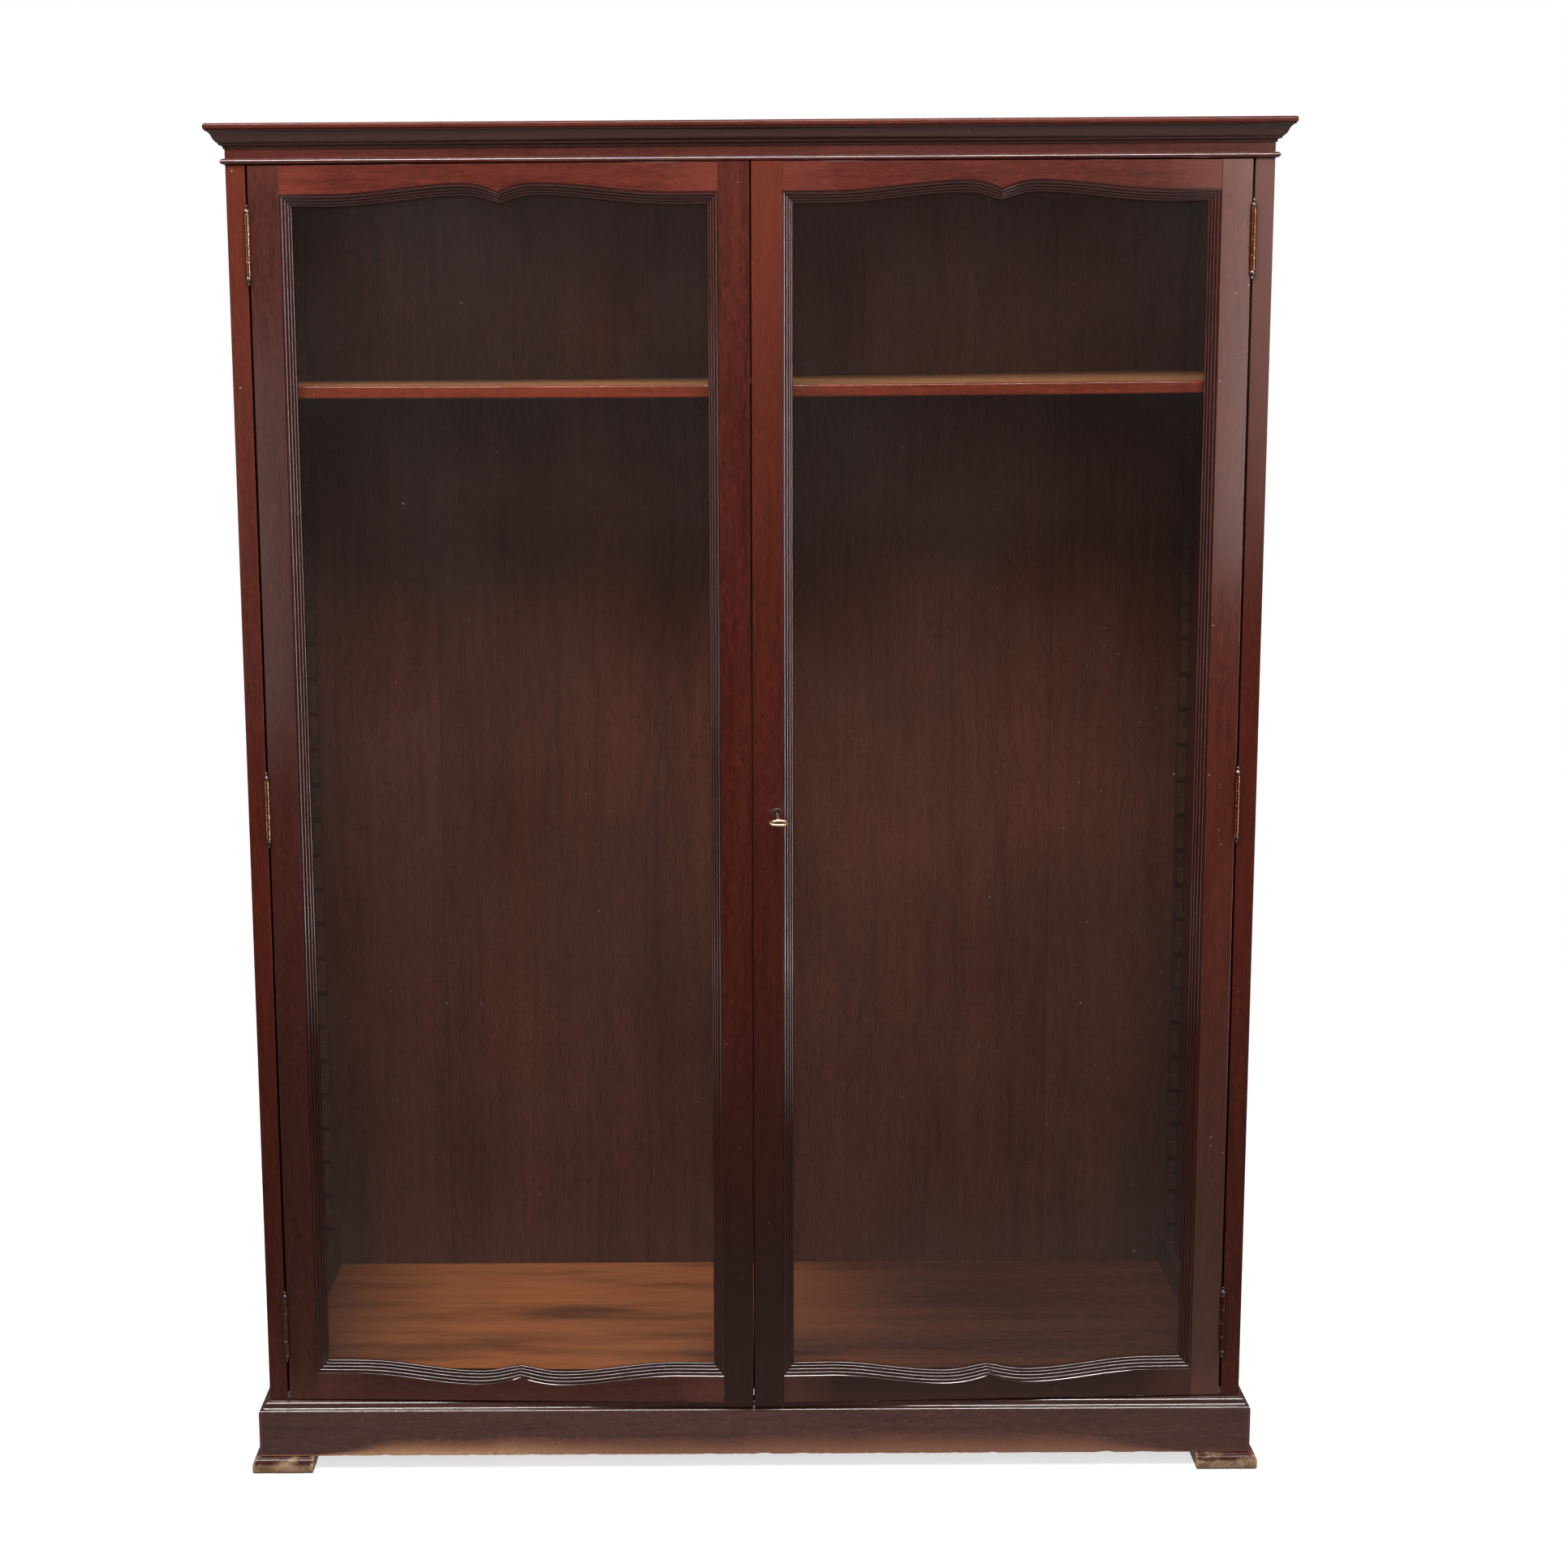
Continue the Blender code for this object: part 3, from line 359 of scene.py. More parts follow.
BRIGHT = ((0.072, 0.0110, 0.0055), (0.150, 0.0245, 0.0125), (0.215, 0.0380, 0.0185))
ORANGE = ((0.150, 0.0190, 0.0070), (0.330, 0.0440, 0.0150), (0.470, 0.0700, 0.0250))
FLOOR = ((0.048, 0.0115, 0.0052), (0.175, 0.0450, 0.0155), (0.300, 0.0840, 0.0290))
BACK = ((0.092, 0.0300, 0.0165), (0.218, 0.0630, 0.0325), (0.325, 0.0910, 0.0460))
STRIP = ((0.060, 0.0200, 0.0115), (0.130, 0.0440, 0.0240), (0.190, 0.0700, 0.0390))
RAW = ((0.110, 0.0600, 0.0360), (0.190, 0.1100, 0.0670), (0.260, 0.1600, 0.1000))


def plinth_wear(t, obj, streak, fine):
    """Bare wood along the lower edge, broad and feathered over most of the front."""
    x, y, z = t.xyz(obj)
    n1 = t.noise(t.mapping(obj, scale=(1.0, 1.0, 0.5)), 5.5, 5.0, 0.55)
    n2 = t.noise(t.mapping(obj, scale=(0.55, 1.0, 1.0)), 170.0, 5.0, 0.75)
    n3 = t.noise(t.mapping(obj, loc=(3, 1, 2), scale=(0.8, 1.0, 1.0)), 330.0, 3.0, 0.7)
    broad = t.remap(t.math('ABSOLUTE', x), 0.50, 0.69, 1.0, 0.0, True)
    reach = t.math('ADD', t.math('MULTIPLY', broad, 0.0290), 0.0030)
    reach = t.math('MULTIPLY', reach, t.remap(n1, 0.30, 0.70, 0.78, 1.25))
    share = t.math('DIVIDE', t.math('SUBTRACT', z, PLINTH_BOT), reach)
    edge = t.remap(share, 0.0, 1.0, 1.15, 0.0)
    edge = t.math('ADD', edge, t.math('MULTIPLY', t.math('SUBTRACT', n2, 0.50), 1.1))
    edge = t.math('MULTIPLY', edge, t.remap(share, 0.9, 1.35, 1.0, 0.0), clamp=True)
    left = t.remap(x, -0.50, -0.12, 1.0, 0.0, True)
    pale = t.mix(left, (0.46, 0.195, 0.095), (0.95, 0.56, 0.290))
    warm = t.mix(left, (0.33, 0.105, 0.044), (0.60, 0.23, 0.095))
    tint = t.mix(t.remap(share, 0.0, 0.7), pale, warm)
    tint = t.mix(t.remap(n2, 0.40, 0.72), tint, t.mix(left, (0.27, 0.090, 0.040),
                                                      (0.44, 0.155, 0.065)))
    tint = t.mix(t.remap(n3, 0.60, 0.70, 0.0, 0.85), tint, (0.085, 0.030, 0.018))
    return t.math('MULTIPLY', edge, 0.95), tint, 0.6


def floor_lighter_side(t, obj, streak, fine):
    """Lighter on one side of the board, left of centre, with dark streaks across it."""
    x, y, z = t.xyz(obj)
    n1 = t.noise(t.mapping(obj, loc=(2.1, 0.4, 0), scale=(0.16, 1.0, 1.0)), 9.0, 5.0, 0.6)
    zone = t.remap(t.math('ABSOLUTE', t.math('ADD', x, 0.28)), 0.12, 0.60, 1.15, 0.0, True)
    mask = t.math('MULTIPLY', zone, t.remap(n1, 0.33, 0.54), clamp=True)
    tint = t.mix(streak, (0.66, 0.150, 0.040), (1.0, 0.370, 0.120))
    return t.math('MULTIPLY', mask, 0.92), tint, 0.42


def foot_wear(t, obj, streak, fine):
    """Polish left in dark patches on top, worn to bare wood below and at the edges."""
    x, y, z = t.xyz(obj)
    n1 = t.noise(t.mapping(obj, scale=(0.6, 0.6, 1.0)), 48.0, 6.0, 0.75)
    n2 = t.noise(t.mapping(obj, scale=(0.3, 0.3, 1.2)), 210.0, 4.0, 0.7)
    pt = t.node("ShaderNodeNewGeometry").outputs["Pointiness"]
    edge = t.remap(pt, 0.503, 0.54, 0.0, 0.7)
    low = t.remap(z, 0.0125, 0.0185, 0.70, -0.20, True)
    bare = t.math('ADD', t.remap(n1, 0.42, 0.62, -0.25, 0.75), t.math('ADD', edge, low))
    bare = t.math('ADD', bare, t.math('MULTIPLY', t.math('SUBTRACT', n2, 0.5), 0.9), clamp=True)
    tint = t.mix(t.remap(n2, 0.30, 0.66), (0.93, 0.68, 0.45), (0.60, 0.30, 0.155))
    return bare, tint, 0.62


M = {}


def mat(key, make):
    if key not in M:
        M[key] = make()
    return M[key]


def put(node, bm, material, bevel=0.0, segments=2, angle=35.0, smooth=True, local=None,
        more=(), sharp=40.0):
    """Makes the piece that stands for a node, in the node's place and on its body."""
    bmesh.ops.remove_doubles(bm, verts=bm.verts, dist=1e-7)
    bmesh.ops.recalc_face_normals(bm, faces=bm.faces)
    body = NODES[node]["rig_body"]
    me = bpy.data.meshes.new("fine_" + node)
    bm.to_mesh(me)
    bm.free()
    me.transform(PLACE[body] if local is None else PLACE[body] @ local)
    ob = bpy.data.objects.new("fine_" + node, me)
    bpy.context.scene.collection.objects.link(ob)
    me.materials.append(material)
    for m in more:
        me.materials.append(m)
    if smooth:
        me.shade_smooth()
        if bevel <= 0.0:
            me.set_sharp_from_angle(angle=math.radians(sharp))
            flat = ob.modifiers.new("flats", 'WEIGHTED_NORMAL')
            flat.keep_sharp = True
            flat.weight = 90
    if bevel > 0.0:
        mod = ob.modifiers.new("arris", 'BEVEL')
        mod.width = bevel
        mod.segments = segments
        mod.limit_method = 'ANGLE'
        mod.angle_limit = math.radians(angle)
        mod.harden_normals = True
        mod.miter_outer = 'MITER_ARC'
    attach(ob, body)
    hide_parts(node)
    return ob


def box_bm(lo, hi):
    bm = bmesh.new()
    bmesh.ops.create_cube(bm, size=1.0)
    lo, hi = Vector(lo), Vector(hi)
    size, mid = hi - lo, (hi + lo) / 2.0
    bmesh.ops.transform(bm, matrix=Matrix.Translation(mid) @ Matrix.Diagonal((*size, 1.0)),
                        verts=bm.verts)
    return bm


def prism_bm(outline, axis, lo, hi):
    bm = bmesh.new()
    put_ = {'X': lambda a, b, c: (c, a, b), 'Y': lambda a, b, c: (a, c, b),
            'Z': lambda a, b, c: (a, b, c)}[axis]
    verts = [bm.verts.new(put_(a, b, lo)) for a, b in outline]
    face = bm.faces.new(verts)
    ext = bmesh.ops.extrude_face_region(bm, geom=[face])
    moved = [v for v in ext['geom'] if isinstance(v, bmesh.types.BMVert)]
    bmesh.ops.translate(bm, verts=moved, vec=Vector(put_(0.0, 0.0, hi - lo)))
    bmesh.ops.recalc_face_normals(bm, faces=bm.faces)
    return bm


def slice_bm(bm, point, normal):
    geom = bm.verts[:] + bm.edges[:] + bm.faces[:]
    cut = bmesh.ops.bisect_plane(bm, geom=geom, dist=1e-7, plane_co=point,
                                 plane_no=normal, clear_outer=True)
    edges = [e for e in cut['geom_cut'] if isinstance(e, bmesh.types.BMEdge)]
    bmesh.ops.edgenet_fill(bm, edges=edges)
    bmesh.ops.recalc_face_normals(bm, faces=bm.faces)


def cut_at(bm, axis, places):
    """Adds edge loops across the mesh at these places along an axis."""
    no = {'X': Vector((1, 0, 0)), 'Y': Vector((0, 1, 0)), 'Z': Vector((0, 0, 1))}[axis]
    for p in places:
        geom = bm.verts[:] + bm.edges[:] + bm.faces[:]
        bmesh.ops.bisect_plane(bm, geom=geom, dist=1e-7, plane_co=no * p, plane_no=no)


def join_bm(bm, other):
    me = bpy.data.meshes.new("join")
    other.to_mesh(me)
    other.free()
    bm.from_mesh(me)
    bpy.data.meshes.remove(me)
    return bm


def boolean_bm(a, b, how):
    """Exact boolean of two meshes, applied."""
    objs = []
    for i, bm in enumerate((a, b)):
        bmesh.ops.recalc_face_normals(bm, faces=bm.faces)
        me = bpy.data.meshes.new("bool%d" % i)
        bm.to_mesh(me)
        bm.free()
        ob = bpy.data.objects.new("bool%d" % i, me)
        bpy.context.scene.collection.objects.link(ob)
        objs.append(ob)
    mod = objs[0].modifiers.new("b", 'BOOLEAN')
    mod.operation, mod.solver, mod.object = how, 'EXACT', objs[1]
    dg = bpy.context.evaluated_depsgraph_get()
    dg.update()
    me = bpy.data.meshes.new_from_object(objs[0].evaluated_get(dg))
    out = bmesh.new()
    out.from_mesh(me)
    bpy.data.meshes.remove(me)
    for ob in objs:
        m = ob.data
        bpy.data.objects.remove(ob)
        bpy.data.meshes.remove(m)
    return out


def cylinder_bm(radius, lo, hi, centre, segments=32, axis='Z'):
    bm = bmesh.new()
    bmesh.ops.create_cone(bm, cap_ends=True, segments=segments, radius1=radius,
                          radius2=radius, depth=hi - lo)
    turn = {'Z': Matrix.Identity(4), 'Y': Matrix.Rotation(-math.pi / 2, 4, 'X'),
            'X': Matrix.Rotation(math.pi / 2, 4, 'Y')}[axis]
    off = {'X': ((lo + hi) / 2, centre[0], centre[1]),
           'Y': (centre[0], (lo + hi) / 2, centre[1]),
           'Z': (centre[0], centre[1], (lo + hi) / 2)}[axis]
    bmesh.ops.transform(bm, matrix=Matrix.Translation(off) @ turn, verts=bm.verts)
    return bm


def turned(profile, centre, segments=32, axis='Z'):
    """Solid turned about an axis from (radius, height) points."""
    bm = bmesh.new()
    rings = []

    def at(r, a, h):
        c, s = r * math.cos(a), r * math.sin(a)
        if axis == 'Z':
            return (centre[0] + c, centre[1] + s, h)
        if axis == 'Y':
            return (centre[0] + c, h, centre[1] + s)
        return (h, centre[0] + c, centre[1] + s)

    for r, h in profile:
        if r < 1e-6:
            rings.append([bm.verts.new(at(0.0, 0.0, h))])
        else:
            rings.append([bm.verts.new(at(r, 2 * math.pi * i / segments, h))
                          for i in range(segments)])
    for a, b in zip(rings, rings[1:]):
        for i in range(segments):
            j = (i + 1) % segments
            if len(a) == 1 and len(b) == 1:
                continue
            if len(a) == 1:
                bm.faces.new((a[0], b[j], b[i]))
            elif len(b) == 1:
                bm.faces.new((a[i], a[j], b[0]))
            else:
                bm.faces.new((a[i], a[j], b[j], b[i]))
    return bm


def arc(cx, cy, rx, ry, a0, a1, n):
    """Points of an elliptic arc, in degrees, ends included."""
    return [(cx + rx * math.cos(math.radians(a0 + (a1 - a0) * i / n)),
             cy + ry * math.sin(math.radians(a0 + (a1 - a0) * i / n))) for i in range(n + 1)]


# ------------------------------------------------------------------ carcass
for side, label in ((-1, "left"), (1, "right")):
    x0, x1 = sorted((side * INNER, side * HALF))
    yz = [(0.0, SIDE_BOT), (CARCASS_D, SIDE_BOT), (CARCASS_D, FRIEZE_TOP),
          (FRIEZE_T + GAP, FRIEZE_TOP), (FRIEZE_T + GAP, FRIEZE_BOT - GAP), (0.0, FRIEZE_BOT - GAP)]
    # the sides' colour gets painted shade towards the floor and a painted sheen towards the top: light red on the left,
    # a greyish pink painted reflection on the right
    put("side_panel_" + label, prism_bm(yz, 'X', x0, x1),
        wood("mahogany_side_" + label, 'Z', *BRIGHT, rough=0.30, coat=0.45, specks=0.55, low=0.45,
             high=0.30 if side < 0 else 0.85,
             high_tone=(0.250, 0.050, 0.030) if side < 0 else (0.240, 0.110, 0.092)), bevel=0.0009)

yz = [(0.0300, SIDE_BOT), (0.0500, SIDE_BOT), (0.0500, FLOOR_TOP - FLOOR_T),
      (0.4617, FLOOR_TOP - FLOOR_T), (0.4617, FLOOR_TOP), (0.0300, FLOOR_TOP)]
put("bottom_board", prism_bm(yz, 'X', -INNER + GAP, INNER - GAP),
    wood("mahogany_floor_board", 'X', *FLOOR, rough=0.42, coat=0.12, figure=1.6, pore=0.6,
         specks=0.5, patch=0.45, wear=floor_lighter_side), bevel=0.0014)
put("inner_top_board", box_bm((-INNER + GAP, 0.0300, TOP_IN), (INNER - GAP, 0.4617, TOP_IN + TOP_T)),
    wood("mahogany_inner_top", 'X', *BACK, rough=0.5, coat=0.1), bevel=0.0008)

for label, a, b in (("left", -INNER + GAP, BACK_JOINT_L),
                    ("centre", BACK_JOINT_L + GAP, BACK_JOINT_R),
                    ("right", BACK_JOINT_R + GAP, INNER - GAP)):
    bm = box_bm((a, CARCASS_D - BACK_T, SIDE_BOT), (b, CARCASS_D, FRIEZE_TOP))
    bmesh.ops.recalc_face_normals(bm, faces=bm.faces)
    for f in bm.faces:
        if f.normal.y > 0.9:
            f.material_index = 1
    put("back_board_" + label, bm,
        wood("mahogany_back_" + label, 'Z', *BACK, rough=0.46, coat=0.18, coat_rough=0.22,
             figure=0.75, pore=0.7, specks=0.5, patch=0.60, scuff=0.12, low=0.25),
        bevel=0.0007,
        more=[mat("raw_back", lambda: wood("mahogany_back_raw", 'Z', *RAW, rough=0.7, coat=0.0,
                                           figure=1.2, pore=0.6, patch=0.4, bump=0.35))])

put("frieze_rail", box_bm((-HALF, 0.0, FRIEZE_BOT), (HALF, FRIEZE_T, FRIEZE_TOP)),
    wood("mahogany_frieze", 'X', *FRIEZE, specks=0.4), bevel=0.0004)


# ---------------------------------------------------------------- mouldings
def crown_outline():
    z = CROWN_BOT
    pts = [(GAP, z), (0.0019, z), (0.0022, z + 0.0003), (0.0022, z + 0.0030)]
    pts += [(0.0022 + 0.0053 * (1 - math.cos(a)), z + 0.0030 + 0.0020 * math.sin(a))
            for a in (math.pi / 2 * i / 6 for i in range(1, 7))]
    pts += [(0.0075, z + 0.0070)]
    n, p0, p1, z0, z1 = 22, 0.0085, 0.0215, z + 0.0073, FRIEZE_TOP - 0.0012
    for i in range(n + 1):
        t = i / n
        pts.append((p0 + (p1 - p0) * (t + 0.080 * math.sin(2 * math.pi * t)), z0 + (z1 - z0) * t))
    pts += [(0.0232, z1), (0.0235, z1 + 0.0002), (0.0235, FRIEZE_TOP - 0.0002),
            (0.0233, FRIEZE_TOP), (GAP, FRIEZE_TOP)]
    return pts


def bead_outline():
    mid, r = (BEAD_TOP + FRIEZE_BOT) / 2, (BEAD_TOP - FRIEZE_BOT) / 2
    pts = [(GAP, FRIEZE_BOT)]
    for i in range(19):
        a = -math.pi / 2 + math.pi * i / 18
        pts.append((0.0012 + (BEAD_OUT - 0.0012) * math.cos(a), mid + r * math.sin(a)))
    pts.append((GAP, BEAD_TOP))
    return pts


def plinth_outline():
    o = PLINTH_OUT
    pts = [(-PLINTH_T, PLINTH_BOT)]
    pts += [(o - 0.0012 + x, PLINTH_BOT + 0.0012 + y)
            for x, y in arc(0, 0, 0.0012, 0.0012, -90, 0, 4)]
    pts += [(o, PLINTH_BOT + 0.006), (o, PLINTH_BOT + 0.014), (o, PLINTH_ARRIS - 0.0003)]
    pts += [(o - 0.0002, PLINTH_ARRIS)]
    for i in range(1, 9):
        a = math.pi / 2 * i / 8
        pts.append((o - 0.0037 * (1 - math.cos(a)), PLINTH_ARRIS + 0.0040 * math.sin(a)))
    for i in range(1, 9):
        a = math.pi / 2 * i / 8
        pts.append((o - 0.0037 - 0.0046 * math.sin(a),
                    PLINTH_ARRIS + 0.0040 + 0.0050 * (1 - math.cos(a))))
    for i in range(1, 11):
        a = math.pi / 2 * i / 10
        pts.append((o - 0.0083 - 0.0050 * (1 - math.cos(a)),
                    PLINTH_ARRIS + 0.0090 + 0.0052 * math.sin(a)))
    pts += [(GAP, PLINTH_TOP), (-PLINTH_T, PLINTH_TOP)]
    return pts


def loft(rings):
    """Closed skin through rings of points, both ends capped."""
    bm = bmesh.new()
    vs = [[bm.verts.new(p) for p in r] for r in rings]
    n = len(vs[0])
    for a, b in zip(vs, vs[1:]):
        for i in range(n):
            j = (i + 1) % n
            bm.faces.new((a[i], a[j], b[j], b[i]))
    bm.faces.new(vs[0])
    bm.faces.new(vs[-1])
    return bm


def chip(x, seed, z, low):
    """How far wear has eaten into the lower edge at a place along it."""
    n = noise.noise(Vector((x * 26, seed, 0))) + 0.5 * noise.noise(Vector((x * 90, seed, 3)))
    return low * max(0.0, n) if z < PLINTH_BOT + 0.0013 else 0.0


def run_front(name, outline, material, steps=1, low=0.0):
    rings = []
    for k in range(steps + 1):
        t = -1.0 + 2.0 * k / steps
        ring = []
        for p, z in outline:
            c = chip(t, 1.0, z, low) if p > 0 else 0.0
            ring.append((t * (HALF + p - GAP * 0.5), -p + c, z + c * 0.8))
        rings.append(ring)
    return put(name, loft(rings), material)


def run_side(name, outline, material, side, steps=1, low=0.0):
    rings = []
    for k in range(steps + 1):
        t = k / steps
        ring = []
        for p, z in outline:
            c = chip(t, 5.0 + side, z, low) if p > 0 else 0.0
            y = -p + GAP * 0.7 + (CARCASS_D + p - GAP * 0.7) * t
            ring.append((side * (HALF + p - c), y, z + c * 0.8))
        rings.append(ring)
    return put(name, loft(rings), material)


crown_wood = wood("mahogany_cornice", 'X', *CROWN, rough=0.30, coat=0.75, coat_rough=0.07, specks=0.3,
                  groove_shade=0.8, arris=0.40)
run_front("cornice_front", crown_outline(), crown_wood)
bead_wood = wood("mahogany_astragal", 'X', *DEEP, rough=0.25, coat=1.0, coat_rough=0.04, specks=0.2)
run_front("astragal_front", bead_outline(), bead_wood)
plinth_wood = wood("mahogany_plinth", 'X', *PLINTH, rough=0.34, coat=1.0, coat_rough=0.07, specks=0.5, level=0.30,
                   wear=plinth_wear, groove_shade=0.6, arris=0.5)
run_front("plinth_front", plinth_outline(), plinth_wood, steps=300, low=0.0022)
crown_side = wood("mahogany_cornice_sides", 'Y', *CROWN, rough=0.30, coat=0.75, coat_rough=0.07,
                  groove_shade=0.8, arris=0.40)
bead_side = wood("mahogany_astragal_sides", 'Y', *DEEP, rough=0.25, coat=1.0, coat_rough=0.04)
plinth_side = wood("mahogany_plinth_sides", 'Y', *PLINTH, rough=0.34, coat=1.0, coat_rough=0.07, specks=0.5, level=0.30,
                   wear=plinth_wear, groove_shade=0.6, arris=0.5)
for side, label in ((-1, "left"), (1, "right")):
    run_side("cornice_" + label, crown_outline(), crown_side, side)
    run_side("astragal_" + label, bead_outline(), bead_side, side)
    run_side("plinth_" + label, plinth_outline(), plinth_side, side, steps=100, low=0.0016)

bm = box_bm((-HALF - BOARD_OUT, -BOARD_OUT, BOARD_BOT), (HALF + BOARD_OUT, CARCASS_D, HEIGHT))
put("cornice_top_board", bm, wood("mahogany_top_board", 'X', *BRIGHT, rough=0.36, coat=0.18,
                                  coat_rough=0.30, specks=0.5, figure=0.6, patch=0.35),
    bevel=0.0034, segments=6)
put("plinth_back", box_bm((-HALF + PLINTH_T + GAP, CARCASS_D - 0.0250, PLINTH_BOT),
                          (HALF - PLINTH_T - GAP, CARCASS_D, PLINTH_TOP)),
    wood("mahogany_plinth_back", 'X', *RAW, rough=0.7, coat=0.0, bump=0.35), bevel=0.0010)

# --------------------------------------------------------------------- feet
FOOT_W = 0.0940
foot_wood = wood("worn_feet_wood", 'X', *BROWN, rough=0.42, coat=0.30, coat_rough=0.20, specks=0.4,
                 wear=foot_wear, bump=0.4)
for sx, lx in ((-1, "left"), (1, "right")):
    for sy, ly in ((-1, "front"), (1, "rear")):
        xo = sx * (HALF + PLINTH_OUT + 0.0105)
        xi = xo - sx * FOOT_W
        y0 = -PLINTH_OUT - 0.0105 if sy < 0 else CARCASS_D - FOOT_W
        y1 = y0 + FOOT_W
        bm = box_bm((min(xo, xi), y0, 0.0), (max(xo, xi), y1, FOOT_H))
        top = [e for e in bm.edges
               if all(v.co.z > FOOT_H - 1e-4 for v in e.verts)
               and (all(abs(v.co.x - xo) < 1e-4 for v in e.verts)
                    or (sy < 0 and all(abs(v.co.y - y0) < 1e-4 for v in e.verts)))]
        bmesh.ops.bevel(bm, geom=top, offset=0.0105, segments=10, profile=0.5, affect='EDGES')
        low = [e for e in bm.edges if all(v.co.z < 1e-4 for v in e.verts)]
        bmesh.ops.bevel(bm, geom=low, offset=0.0050, segments=5, profile=0.5, affect='EDGES')
        n = 34
        lo_x, hi_x = min(xo, xi), max(xo, xi)
        cut_at(bm, 'X', [lo_x + (hi_x - lo_x) * i / n for i in range(1, n)])
        cut_at(bm, 'Y', [y0 + FOOT_W * i / n for i in range(1, n)])
        cut_at(bm, 'Z', [0.007, 0.009, 0.011, 0.013])
        bmesh.ops.triangulate(bm, faces=[f for f in bm.faces if len(f.verts) > 4])
        bmesh.ops.recalc_face_normals(bm, faces=bm.faces)
        bm.normal_update()
        off = {}
        for v in bm.verts:
            edge = 1.0 if 0.0005 < v.co.z < 0.0125 else 0.35
            q = v.co * 60
            dent = (max(0.0, noise.noise(q + Vector((sx, sy, 0)))) * 0.0011
                    + max(0.0, noise.noise(v.co * 210)) * 0.0005)
            if v.co.z > FOOT_H - 0.0004 or v.co.z < 0.0002:
                dent = 0.0
            off[v] = -v.normal * dent * edge
        for v, d in off.items():
            v.co += d
        put("foot_%s_%s" % (ly, lx), bm, foot_wood, sharp=50)


# -------------------------------------------------------------------- doors
def reeds(n):
    """Ovolo and three reeds, stepping back to the glass, with a quirk beside each."""
    steps = ((0.0004, 0.0050, 0.0012, 0.0034), (0.0054, 0.0090, 0.0052, 0.0032),
             (0.0094, 0.0126, 0.0090, 0.0028), (0.0130, 0.0160, 0.0124, 0.0029))
    pts = []
    for k, (w0, w1, y0, dy) in enumerate(steps):
        if k:
            pts += [(pts[-1][0], y0 + 0.0009), (w0, y0 + 0.0009)]
        for i in range(n + 1):
            a = math.pi / 2 * i / n
            pts.append((w0 + (w1 - w0) * math.sin(a), y0 + dy * (1 - math.cos(a))))
    pts.append((MOULD_W, REBATE_Y))
    return pts


def brace(d, c):
    if d >= c['flat']:
        return 0.0
    if d >= c['at']:
        t = (d - c['at']) / (c['flat'] - c['at'])
        return c['hump'] * (1 - t * t * (3 - 2 * t))
    return c['hump'] + (c['cusp'] - c['hump']) * (1 - d / c['at']) ** 2


def slope(d, c):
    if d >= c['flat']:
        return 0.0
    if d >= c['at']:
        t = (d - c['at']) / (c['flat'] - c['at'])
        return -c['hump'] * 6 * t * (1 - t) / (c['flat'] - c['at'])
    return -2 * (c['cusp'] - c['hump']) / c['at'] * (1 - d / c['at'])


def rail_mesh(xa, xb, base, edge, rebate, curve, up):
    mid, half = (xa + xb) / 2, (xb - xa) / 2
    n_s, n_c = 34, 18
    ds = [half]
    ds += [curve['flat'] + (curve['at'] - curve['flat']) * i / n_s for i in range(n_s)]
    ds += [curve['at'] * (1 - i / n_c) for i in range(n_c)]
    stations = [mid - d for d in ds] + [mid] + [mid + d for d in reversed(ds)]
    profile = [(-0.0010, 0.0), (-0.0005, 0.00015), (-0.00015, 0.0005), (0.0, 0.0010),
               (0.0, 0.0019), (0.0004, 0.0019)] + reeds(7)
    bm = bmesh.new()
    rings = []
    for k, x in enumerate(stations):
        d = abs(x - mid)
        z = base + brace(d, curve)
        stretch = math.sqrt(1 + slope(d, curve) ** 2) * (1 - 0.16 * math.exp(-(d / 0.012) ** 2))
        end = -1 if k == 0 else (1 if k == len(stations) - 1 else 0)
        e = 0.0005
        ring = [bm.verts.new((x, e, edge)), bm.verts.new((x, 0.0, edge - up * e))]
        for w, y in profile:
            ring.append(bm.verts.new((x - end * max(0.0, w), y, z - up * w * stretch)))
        back = min(z, rebate - 0.0005) if up > 0 else max(z, rebate + 0.0005)
        ring.append(bm.verts.new((x, REBATE_Y, back)))
        ring.append(bm.verts.new((x, REBATE_Y, rebate)))
        ring.append(bm.verts.new((x, DOOR_T, rebate)))
        ring.append(bm.verts.new((x, DOOR_T, edge)))
        rings.append(ring)
    n = len(rings[0])
    for a, b in zip(rings, rings[1:]):
        for i in range(n):
            j = (i + 1) % n
            bm.faces.new((a[i], a[j], b[j], b[i]))
    for r in (rings[0], rings[-1]):
        last = len(profile) + 2
        bm.faces.new([r[0], r[1], r[2]] + r[last:])
        bm.faces.new(r[2:last + 1])
    return bm


def stile_moulding(xw, inward):
    pts = ([(-0.0030, 0.0019), (0.0004, 0.0019)] + reeds(7) + [(REB_SIDE, REBATE_Y), (REB_SIDE, DOOR_T - GAP),
                                             (-0.0030, DOOR_T - GAP)])
    bm = prism_bm([(xw + inward * w, y) for w, y in pts], 'Z', DOOR_BOT - 0.02, DOOR_TOP + 0.02)
    slice_bm(bm, (xw, 0.0, MOULD_BOT), Vector((inward, 0.0, -1.0)).normalized())
    slice_bm(bm, (xw, 0.0, MOULD_TOP), Vector((inward, 0.0, 1.0)).normalized())
    return bm


